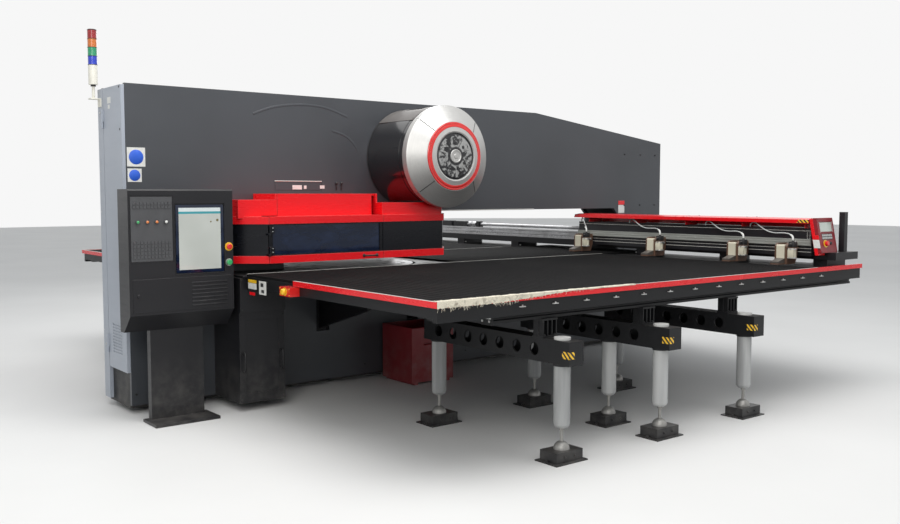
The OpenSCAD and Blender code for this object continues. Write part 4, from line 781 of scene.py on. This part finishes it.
strips = Shape()
strips.screws(grid(3, 220, range(2314, 561, -292)), LEFT, 5.4, 3.6)
strips.bolts(grid(-4, 178, (460, 2156)), LEFT, 9, 4)
strips.done("strip_screws", "machine_frame", "zinc_steel", "zinc")

marks = Shape()
for outline in ((-33, 36, 2213, 2257), (-24, 16, 2175, 2203)):
    marks.plate(rectangle(*outline), 1, (0, 0, 0), 0.4, OUT)
marks.done("door_marks", "cabinet_door", "jaw_cream", "white")

TOWER = (-46, 187)
LENS_FOOT, LENS_HEIGHT = 2500, 62
tower = Shape()
for i in range(5):
    tower.turned([(30.5, -2), (32.8, -2), (33.6, -1), (33.6, 1), (32.8, 2), (30.5, 2)],
                 (*TOWER, LENS_FOOT + LENS_HEIGHT * i), UP, 40, True)
tower.turned([(0, 0), (31, 0), (31, 3), (27, 6), (0, 7)], (*TOWER, 2748), UP, 40)
tower.turned([(10.6, 0), (19, 0), (19, 5), (15, 12), (10.6, 12)], (*TOWER, 2346), UP, 32, True)
tower.done("tower_rings", "machine_frame", "black_paint", "rubber")

# Press drive: top panel, seal and shade rings, and rear grille

MOTOR_X, MOTOR_Z = 2446, 1870
PANEL_STEP = 1.5
PANEL_TURN = (-45.5, 29.5)
PANEL_SLOTS = ((-18.5, -9.5), (5.5, 14.5))
PANEL_ROWS = (-728, -628, -402, -252)
PANEL_INNER, PANEL_OUTER = 404.6, 410.4


def on_drum(turn, radius):
    """X and Z at an angle from the top of the drive's drum."""
    a = math.radians(turn)
    return MOTOR_X + radius * math.sin(a), MOTOR_Z + radius * math.cos(a)


panel = bmesh.new()
x, z = on_drum(PANEL_TURN[0], PANEL_INNER)
row = [panel.verts.new((x, y, z)) for y in PANEL_ROWS]
rows = [panel.edges.new(pair) for pair in zip(row, row[1:])]
bmesh.ops.spin(panel, geom=row + rows, cent=(MOTOR_X, 0, MOTOR_Z), axis=REAR,
               angle=math.radians(PANEL_TURN[1] - PANEL_TURN[0]),
               steps=round((PANEL_TURN[1] - PANEL_TURN[0]) / PANEL_STEP))
holes = []
for face in panel.faces:
    middle = face.calc_center_median()
    turn = math.degrees(math.atan2(middle.x - MOTOR_X, middle.z - MOTOR_Z))
    if PANEL_ROWS[1] < middle.y < PANEL_ROWS[2] and any(a < turn < b for a, b in PANEL_SLOTS):
        holes.append(face)
bmesh.ops.delete(panel, geom=holes, context="FACES")
made = bmesh.ops.extrude_face_region(panel, geom=panel.faces[:])
for vert in (g for g in made["geom"] if isinstance(g, bmesh.types.BMVert)):
    out = Vector((vert.co.x - MOTOR_X, 0, vert.co.z - MOTOR_Z)).normalized()
    vert.co += out * (PANEL_OUTER - PANEL_INNER)
lid = Shape()
lid.take(panel)
for turn in (PANEL_TURN[0] + 3, -4.5, PANEL_TURN[1] - 3):
    x, z = on_drum(turn, PANEL_OUTER - 0.5)
    lid.screws(grid(x, (-272, -708), z), (x - MOTOR_X, 0, z - MOTOR_Z), 5, 3)
lid.done("drive_top_panel", "machine_frame", "black_paint", "top_panel")

# The black ring between the drive housing and the bezel is painted shade; the other ring is a
# seal.
seal_and_shade_rings = Shape()
for y, r in ((-738, 404), (-244, 405)):
    seal_and_shade_rings.turned([(r, 0), (r + 5, 0), (r + 6, 2), (r + 5, 4), (r, 4)],
                 (MOTOR_X, y, MOTOR_Z), OUT, 96, True)
seal_and_shade_rings.done("drive_seal_and_shade_rings", "machine_frame", "black_paint", "rubber")

BEZEL_BACK = Vector((MOTOR_X, -740, MOTOR_Z))
band = Shape()
band.turned([(234, 160), (254.4, 158), (254.4, 162.4), (253, 163), (236, 166.6), (234, 166.2)],
            BEZEL_BACK, OUT, 120, True)
band.done("bezel_red_band", "machine_frame", "signal_red", "stop_red")

# Black strips in the bezel's four radial grooves: painted shade in the grooves.
GROOVE_SHADE_WIDTH = 6
highlight_and_shade_strips = Shape()
for turn in (45, 135, 225, 315):
    a = math.radians(turn)
    ray = Vector((math.cos(a), 0, math.sin(a)))
    highlight_and_shade_strips.plate([(280, 150), (404, 68), (404, 71.8), (280, 154)], GROOVE_SHADE_WIDTH,
                BEZEL_BACK - ray.cross(Vector(OUT)) * (GROOVE_SHADE_WIDTH / 2), 0, ray, OUT)
highlight_and_shade_strips.done("bezel_groove_shade_strips", "machine_frame", "black_paint", "rubber")

cap = Shape()
cap.turned([(0, 0), (54, 0), (56, 3), (54, 7), (46, 9), (43, 6), (20, 5), (18, 9), (0, 10)],
           (MOTOR_X, -910, MOTOR_Z), OUT, 64)
cap.done("hub_cap", "machine_frame", "bezel_silver", "bezel")

grille = Shape()
for r in (60, 110, 160, 210):
    grille.turned([(r, 0), (r + 8, 0), (r + 8, 5), (r, 5)], (MOTOR_X, 823, MOTOR_Z), REAR, 72,
                  True)
for i in range(6):
    x, z = on_drum(90 - 60 * i, 245)
    grille.bolts([(x, 824, z)], REAR, 16, 8)
grille.done("rear_drive_rings", "machine_frame", "zinc_steel", "black")

# Turret guard

BAND = -690
gasket = Shape()
gasket.border((941, 223), 9, 3, (916, BAND, 1123))
gasket.done("window_gasket", "guard_door", "black_paint", "rubber")

GRIP_Z = 1092
GRIP_ENDS = (1700, 1820)
grip = [(GRIP_ENDS[0], -701), (1701, -716), (1708, -727), (1722, -731),
        (1798, -731), (1812, -727), (1819, -716), (GRIP_ENDS[1], -701)]
handle = Shape()
handle.tube(smooth_path([(x, y, GRIP_Z) for x, y in grip], 4), 6, 3)
for x in GRIP_ENDS:
    handle.turned(chamfered(0, 13, 5, 2), (x, -702, GRIP_Z), OUT, 24)
handle.done("guard_handle", "guard_door", "black_paint", "rubber")

leaves = Shape()
leaves.screws(grid(908, -716, (1147, 1173, 1296, 1322)), OUT, 4, 3)
leaves.done("hinge_screws", "guard_door", "zinc_steel", "zinc")

tops = Shape()
tops.screws(grid(range(1040, 1880, 160), (-268, -542), 1570), UP, 5, 3)
tops.screws(grid((1920, 2140, 2360, 2580), -268, 1500), UP, 5, 3)
tops.done("hood_screws", "machine_frame", "black_paint", "black")

# Tables

TABLE_FRONT, TABLE_LEFT, STRIP_RIGHT = -2922, 700, 4400
edging = Shape()
for outline in ([(-713, 984), (-711, 984), (-711, 1001.6), (-722, 1001.6), (-722, 1000.2),
                 (-713, 1000.2)], rectangle(-2939, -2924, 1001.8, 1002.8)):
    edging.plate(outline, STRIP_RIGHT - TABLE_LEFT, (TABLE_LEFT, 0, 0), 0, REAR)
edging.plate(rectangle(683, 699, 1001.8, 1003), 1520, (0, -1412, 0), 0)
edging.done("table_edge_strips", "travelling_table", "zinc_steel", "edging", mirrored=True)

TAB_TOP = 935
# Pale grey tabs under the bolts along the table's front edge stand in for the glint on the bolt
# tops: painted highlight.
glint_tabs = Shape()
washers = Shape()
for x in range(1305, 4462, 263):
    glint_tabs.block((x - 20, TABLE_FRONT - 15, TAB_TOP - 5), (x + 20, TABLE_FRONT + 1, TAB_TOP), 1)
    washers.turned([(0, 0), (6, 0), (6, 1.5), (5, 2.2), (0, 2.2)], (x, TABLE_FRONT - 7, TAB_TOP),
                   UP, 20)
    washers.bolts([(x, TABLE_FRONT - 7, TAB_TOP + 1)], UP, 8, 5)
glint_tabs.done("table_edge_glint_tabs", "travelling_table", "frame_grey", "grey", mirrored=True)
washers.screws(grid(1136, (-2840, -2780), (852, 886)), LEFT, 7, 6)
washers.done("table_bolts", "travelling_table", "zinc_steel", "zinc", mirrored=True)

stops = Shape()
stops.block((1126, -2853, 866), (1137, -2767, 907))
stops.done("rail_stop_pads", "travelling_table", "black_paint", "grey", mirrored=True)

TAPE_LEFT, TAPE_WORN, TAPE_RIGHT = 684, 1120, 2260
TAPE_ROWS, TAPE_COLUMNS = 12, 320
TAPE_TOP, TAPE_LIMIT, TAPE_HEM = 1004, 999, 968
TAPE_INNER, TAPE_EDGE, TAPE_FACE = -2904, -2941, -2942.6
TAPE_SLANT = 0.009
THREADS, THREADS_RIGHT, LONG_THREADS_RIGHT = 90, 1900, 1300
TUFTS, TUFT_LINE = 60, -2902
random.seed(7)


def tape_foot(x):
    """How low the worn tape still hangs on the table's front edge."""
    ragged = noise.noise(Vector((x / 17, 3, 0))) * 6 + noise.noise(Vector((x / 5, 9, 0))) * 4
    return min(TAPE_LIMIT, TAPE_HEM + max(0, x - TAPE_WORN) * 0.055 + ragged)


tape = bmesh.new()
bmesh.ops.create_grid(tape, x_segments=TAPE_COLUMNS, y_segments=TAPE_ROWS, size=0.5)
for vert in tape.verts:
    x = TAPE_LEFT + (vert.co.x + 0.5) * (TAPE_RIGHT - TAPE_LEFT)
    across = (vert.co.y + 0.5) * 2
    wave = noise.noise(Vector((x / 60, across * 2, 5))) * 2.2
    inner = TAPE_INNER + noise.noise(Vector((x / 26, 1, 7))) * 9 - (x - TAPE_LEFT) * TAPE_SLANT
    if across < 1:
        vert.co = (x, inner + (TAPE_EDGE - inner) * across,
                   TAPE_TOP + 0.6 + wave * (1.2 - across))
    else:
        vert.co = (x, TAPE_FACE - abs(wave) * 0.8 * (across - 1),
                   TAPE_TOP + (tape_foot(x) - TAPE_TOP) * (across - 1))
bmesh.ops.recalc_face_normals(tape, faces=tape.faces)
bmesh.ops.solidify(tape, geom=tape.faces[:], thickness=1.1)
frayed = Shape()
frayed.take(tape)
for _ in range(THREADS):
    x = random.uniform(TAPE_LEFT, THREADS_RIGHT)
    low = tape_foot(x)
    drop = random.uniform(5, 22) * (1 if x < LONG_THREADS_RIGHT else 0.5)
    bend = random.uniform(-7, 7)
    frayed.tube([(x, -2943.5, low + 6), (x + bend * 0.4, -2945.5, low - drop * 0.5),
                 (x + bend, -2944, low - drop)], random.uniform(0.5, 1.1), 1)
for _ in range(TUFTS):
    x = random.uniform(TAPE_LEFT, TAPE_RIGHT)
    y = TUFT_LINE - (x - TAPE_LEFT) * TAPE_SLANT
    run = random.uniform(8, 26)
    frayed.tube([(x, y - 6, 1005), (x + run * 0.5, y + random.uniform(0, 6), 1006.5),
                 (x + run, y + random.uniform(4, 12), 1003.5)], random.uniform(0.5, 1.2), 1)
frayed.done("frayed_edge_tape", "travelling_table", "jaw_cream", "tape", crease=60)

lamp_ring = Shape()
lamp_ring.turned(chamfered(11, 27, 1.2), (630, -1395, 935), LEFT, 36, True)
lamp_ring.screws(grid(630, (-1456, -1334), (914, 956)), LEFT, 4, 3)
lamp_ring.done("table_stop_ring", "travelling_table", "stop_yellow", "yellow")

# Supports

SUPPORTS = (1600, 2500, 3420)
BEAM_END = -3070
OUTER_LEGS, MIDDLE_LEG = (-2955, -1780), -2515
anchors = Shape()
for x in SUPPORTS:
    for y in (*OUTER_LEGS, MIDDLE_LEG) if x == SUPPORTS[1] else OUTER_LEGS:
        anchors.bolts(grid((x - 118, x + 118), y, 8), UP, 15, 9)
        anchors.bolts(grid((x - 40, x + 40), y - 70, 39), OUT, 11, 6)
        anchors.turned([(48, 0), (54, 0), (55, 3), (54, 12), (48, 12)], (x, y, 566), UP, 40, True)
    anchors.bolts(grid((x - 40, x + 40), (-2848, -2772), 730), UP, 13, 8)
anchors.done("support_bolts", "machine_frame", "black_paint", "black", mirrored=True)

tapes = Shape()
for x in SUPPORTS:
    tapes.plate(rectangle(-58, -16, 620, 662), 1, (x, BEAM_END, 0), 0.3)
    tapes.plate(rectangle(3014, 3068, 620, 662), 1, (x - 60, 0, 0), 0.3, OUT)
tapes.done("beam_hazard_tape", "machine_frame", "stop_yellow", "hazard", mirrored=True)

# Clamp carriage

SADDLE_X, BAR_X = 4654, 4640
SADDLE_ENDS = (-2725, -170)
SADDLE_RUN = SADDLE_ENDS[1] - SADDLE_ENDS[0]
grooves = [(0, 1151), (1.6, 1153), (1.6, 1164), (0.4, 1165), (0.4, 1171), (1.6, 1172),
           (1.6, 1184), (0.4, 1185), (0.4, 1191), (1.6, 1192), (1.6, 1203), (0, 1205)]
bar = Shape()
bar.plate([(-BAR_X + a, z) for a, z in grooves], SADDLE_RUN, (0, SADDLE_ENDS[0], 0), 0, LEFT)
bar.screws(grid(BAR_X - 1.4, range(SADDLE_ENDS[0] + 40, SADDLE_ENDS[1], 90), 1178), LEFT, 5, 2)
bar.done("clamp_bar_face", "clamp_carriage", "zinc_steel", "bar")

lines = Shape()
for z in (1098, 1126, 1268):
    lines.plate(rectangle(-SADDLE_X - 5, -SADDLE_X - 0.4, z, z + 4), SADDLE_RUN,
                (0, SADDLE_ENDS[0], 0), 0, LEFT)
for place in grid(SADDLE_X, (-2712, -2690), range(1212, 1262, 11)):
    lines.turned([(0, 0), (3.4, 0), (3.4, 1.4), (2.6, 2), (0, 2)], place, LEFT, 14)
lines.done("saddle_lines", "clamp_carriage", "zinc_steel", "edging")

patch = Shape()
patch.plate([(2618, 1336), (2722, 1336), (2724, 1361), (2636, 1361)], 1, (4606, 0, 0), 0.3, OUT)
patch.done("cover_hazard_patch", "clamp_carriage", "stop_yellow", "hazard")

lifts = Shape()
for x, z in ((4838, 1370), (4690, 1369.6)):
    lifts.screws(grid(x, range(-2700, 0, 600), z), UP, 5, 3)
lifts.done("carriage_cover_screws", "clamp_carriage", "black_paint", "black")

CYLINDER_X, CYLINDER_SHIFT = 4505, 95
CLAMP_SIDE = 56


def clamp_fittings():
    """Cylinder sleeves, end rings, fasteners, valves and hose elbows of the four clamps."""
    sleeve, ends, valve, elbow = Shape(), Shape(), Shape(), Shape()
    for middle in CLAMP_Y:
        clamp = middle * 1000
        y = clamp - CYLINDER_SHIFT
        sleeve.turned([(27.6, 0), (29, 0.6), (29, 57), (27.6, 58)], (CYLINDER_X, y, 1064), UP, 36,
                      True)
        sleeve.block((4472, y - 26, 1054), (4479, y + 26, 1132))
        for z in (1052, 1122):
            ends.turned([(32.8, 0), (34, 1), (34, 11), (32.8, 12)], (CYLINDER_X, y, z), UP, 36,
                        True)
        ends.screws(grid(4472, (y - 20, y + 20), (1058, 1128)), LEFT, 4, 3)
        for side in (-1, 1):
            ends.bolts(grid((4560, 4610), clamp + side * CLAMP_SIDE, 1120), (0, side, 0), 15, 7)
            ends.screws([(4536, clamp + side * CLAMP_SIDE, 1057)], (0, side, 0), 8, 5)
        valve.block((4481, y - 24, 1145), (4531, y + 24, 1188), 3)
        valve.turned([(0, 0), (9, 0), (9, 14), (7, 18), (0, 18)], (4481, y, 1166), LEFT, 20)
        ends.turned([(5, 0), (8, 0), (8, 7), (5, 7)], (4519, y - 13, 1186), UP, 12, True)
        ends.turned(chamfered(0, 6, 11, 2), (4519, y + 11, 1186), UP, 12)
        bend = [(CYLINDER_X, y, 1192), (CYLINDER_X, y, 1214), (4511, y + 9, 1230),
                (4525, y + 33, 1240)]
        elbow.tube(smooth_path(bend, 5), 8, 3)
    sleeve.done("cylinder_sleeves", "clamp_carriage", "jaw_cream", "cream")
    ends.done("clamp_fasteners", "clamp_carriage", "zinc_steel", "zinc")
    valve.done("clamp_valves", "clamp_carriage", "black_paint", "rubber")
    elbow.done("hose_elbows", "clamp_carriage", "hose_grey", "white")


clamp_fittings()

BASE_X = 4758
base = Shape()
for side in (-1, 1):
    base.bolts(((4735, side * y, 1100) for y in range(220, 2701, 310)), UP, 13, 6)
    base.bolts(grid((4765, 5015), (side * 828, side * 1778, side * 2678), 1000), UP, 15, 8)
base.screws(grid(BASE_X, range(-2700, 2880, 155), 1185), UP, 7, 2)
base.turned(chamfered(0, 24, 30, 4), (BASE_X, -2773, 1216), OUT, 28)
base.turned([(19, 0), (31.4, 0), (31.4, 6), (19, 6)], (BASE_X, 1600, 1216), REAR, 32, True)
base.done("carriage_base_bolts", "travelling_table", "zinc_steel", "zinc")

# Control panel on the end cap

PANEL_FOOT = Vector((0, -2841, 1100))
CAP_SLOPE = 0.2
LEAN = Vector((0, CAP_SLOPE, 1))
NORMAL = Vector((0, -1, CAP_SLOPE)).normalized()


def on_slope(x, rise):
    """A place on the leaning panel, at a height above its foot."""
    return PANEL_FOOT + Vector((x, 0, 0)) + LEAN * rise


def on_panel(shape, x0, x1, z0, z1, thick, sink=0.0, edge=0.6):
    """A flat piece on the leaning panel, between two heights above its foot."""
    outline = rectangle(x0, x1, z0 * LEAN.length, z1 * LEAN.length)
    shape.plate(outline, thick, PANEL_FOOT - NORMAL * sink, edge, RIGHT, LEAN)


bezel = Shape()
bezel.border((186, 90), 10, 3.5, on_slope(4639, 160), v=LEAN)
bezel.done("display_frame", "travelling_table", "jaw_cream", "grey")

glass = Shape()
on_panel(glass, 4647, 4817, 167, 241, 1.6, 1.9)
glass.done("display_glass", "travelling_table", "screen_glass", "lcd")

keys = Shape()
on_panel(keys, 4650, 4806, 104, 150, 1.4)
keys.done("key_strip", "travelling_table", "key_grey", "keys")

caps = Shape()
for x, z in product(range(4655, 4781, 25), (109, 130)):
    on_panel(caps, x, x + 20, z, z + 15, 3.2, 0, 1)
caps.done("panel_keys", "travelling_table", "key_grey", "grey")

disc = Shape()
disc.turned(chamfered(10.6, 31, 1.2), on_slope(4692, 72), NORMAL, 44, True)
disc.done("stop_disc", "travelling_table", "stop_yellow", "yellow")

dots = Shape()
dots.screws((on_slope(x, z) for x, z in product((4618, 4842), (8, 138, 266))), NORMAL, 4, 2.4)
dots.turned([(0, 0), (13, 0), (13, 4), (10, 9), (0, 9)], on_slope(4764, 74), NORMAL, 28)
dots.done("panel_screws", "travelling_table", "black_paint", "rubber")

PLATES_TOP = 1240
for finish, z0, z1, slot in (("white", 1138, 1204, "jaw_cream"),
                             ("red", 1206, PLATES_TOP, "signal_red")):
    a0, a1 = (2757 + CAP_SLOPE * (PLATES_TOP - z) for z in (z0, z1))
    side_plate = Shape()
    side_plate.plate([(a0, z0), (a0 + 54, z0), (a1 + 54, z1), (a1, z1)], 5.4, (4610, 0, 0), 0.4,
                     OUT)
    side_plate.done(f"cap_plate_{finish}", "travelling_table", slot, finish)

# Console

CONSOLE = -690
screen_frame = Shape()
screen_frame.border((361, 481), 10, 5, (187, CONSOLE, 1022), 1.6)
screen_frame.border((296, 444), 6, 3, (-119, CONSOLE, 1113))
screen_frame.done("console_frames", "machine_frame", "key_grey", "keys")

picture = Shape()
picture.plate(rectangle(216, 519, 1051, 1474), 1, (0, CONSOLE + 3.6, 0), 0)
picture.done("screen_picture", "machine_frame", "screen_glass", "picture")

LAMP_LEFT, LAMP_STEP, LAMP_Z = -67, 64, 1382
for i, finish in enumerate(("green", "lens_orange", "lens_orange", "white")):
    jewel = Shape()
    jewel.turned([(0, 0), (9.5, 0), (9.5, 2), (6.5, 5), (0, 6)],
                 (LAMP_LEFT + LAMP_STEP * i, CONSOLE - 12, LAMP_Z), OUT, 24)
    jewel.done(f"console_lamp_{i + 1}", "machine_frame", "start_green", finish)

for name, r, z, slot, finish in (("console_stop_disc", 30, 1200, "stop_yellow", "yellow"),
                                 ("console_start_ring", 26, 1090, "zinc_steel", "zinc")):
    ring = Shape()
    ring.turned(chamfered(10.6, r, 1.2), (577, CONSOLE, z), OUT, 40, True)
    ring.done(name, "machine_frame", slot, finish)

hatch = Shape()
hatch.plate(rectangle(-108, 588, 776, 1002), 3, (0, CONSOLE, 0), 1.2)
for z in range(800, 957, 26):
    hatch.block((300, CONSOLE - 7, z), (560, CONSOLE - 2, z + 10))
hatch.turned(chamfered(0, 12, 8, 2), (-70, CONSOLE - 2, 890), OUT, 28)
hatch.done("console_hatch", "machine_frame", "black_paint", "black")

# Base cover and scrap bin

COVER_FOOT, COVER_FACE = -664, -684
bands = {"yellow": ((735, 860, 944, 966),), "white": ((735, 860, 900, 942), (900, 1005, 872, 966)),
         "red": ((752, 838, 856, 878),), "rubber": ((925, 965, 926, 952), (935, 975, 884, 906))}
for finish, outlines in bands.items():
    shape = Shape()
    for outline in outlines:
        shape.plate(rectangle(*outline), 2 if finish == "rubber" else 1.4, (TABLE_LEFT, 0, 0),
                    0.4, OUT)
    shape.done(f"table_end_plates_{finish}", "travelling_table", "jaw_cream", finish)

pull = Shape()
for x in (690, 990):
    pull.tube(smooth_path([(x, COVER_FOOT, 300), (x, -690, 300), (x, -690, 420),
                           (x, COVER_FOOT, 420)], 4), 6)
pull.screws(grid((674, 1006), COVER_FOOT, (90, 690)), OUT, 6, 4)
pull.screws(grid((674, 1006), COVER_FACE, (740, 952)), OUT, 6, 4)
pull.done("base_cover_handles", "machine_frame", "black_paint", "black")

BIN_TOP, BIN_HANDLE = 470, 330
rim = Shape()
rim.tube([(x, y, BIN_TOP) for x, y in ((2173, -681), (2597, -681), (2597, -267), (2173, -267),
                                       (2173, -681))], 5)
rim.tube(smooth_path([(x, y, BIN_HANDLE) for x, y in (
    (2300, -684), (2302, -702), (2320, -708), (2450, -708), (2468, -702), (2470, -684))], 4), 6)
rim.done("scrap_bin_rim", "scrap_bin", "deep_red", "dull_red")

PALE = (0.72, 0.715, 0.70)


def pale_floor():
    f = Finish("pale_floor")
    cloud = f.noise(0.5, f.places(), 4)
    tone = f.blend(cloud.rise(0.3, 0.7), shade(PALE, 0.97), shade(PALE, 1.02))
    return f.surface(Base_Color=tone, Roughness=0.6)


ground = bmesh.new()
bmesh.ops.create_grid(ground, x_segments=1, y_segments=1, size=40)
mesh = bpy.data.meshes.new("floor")
ground.to_mesh(mesh)
ground.free()
mesh.materials.append(pale_floor())
floor = stand("floor", mesh)

# The camera and the reflections see a pale backdrop, and the sky lights the rest
sky = bpy.data.worlds.new("hall")
scene.world = sky
sky.use_nodes = True
sky.node_tree.nodes.clear()
hall = Nodes(sky.node_tree)
seen = hall.add("ShaderNodeLightPath", out="Is Camera Ray")
for ray in ("Is Glossy Ray", "Is Transmission Ray"):
    seen = seen.math("MAXIMUM", seen, hall.add("ShaderNodeLightPath", out=ray))
light = hall.add("ShaderNodeBackground", {}, {"Color": (0.92, 0.96, 1.0), "Strength": 0.55})
backdrop = hall.add("ShaderNodeBackground", {}, {"Color": (0.93, 0.93, 0.93), "Strength": 1.0})
choice = hall.add("ShaderNodeMixShader", {}, {0: seen, 1: light, 2: backdrop})
hall.feed(sky.node_tree.nodes.new("ShaderNodeOutputWorld").inputs[0], choice)


def lamp(name, place, target, size, power, colour=(1, 1, 1)):
    """A soft square lamp that looks at target."""
    data = bpy.data.lights.new(name, "AREA")
    data.shape, data.size, data.size_y = "RECTANGLE", size[0], size[1]
    data.energy, data.color = power, colour
    made = stand(name, data)
    made.location = place
    made.rotation_euler = (Vector(target) - Vector(place)).to_track_quat("-Z", "Y").to_euler()


lamp("ceiling_rows", (-1.5, -2.5, 6.5), (0.2, -0.4, 0.8), (7, 4), 420)
lamp("front_fill", (-6.0, -6.5, 4.2), (0.0, -0.6, 1.0), (4, 3), 190, (1.0, 0.98, 0.95))
lamp("rear_fill", (3.5, 6.0, 5.0), (0, 0.5, 1.0), (5, 3), 160)

scene.view_settings.view_transform = "Standard"
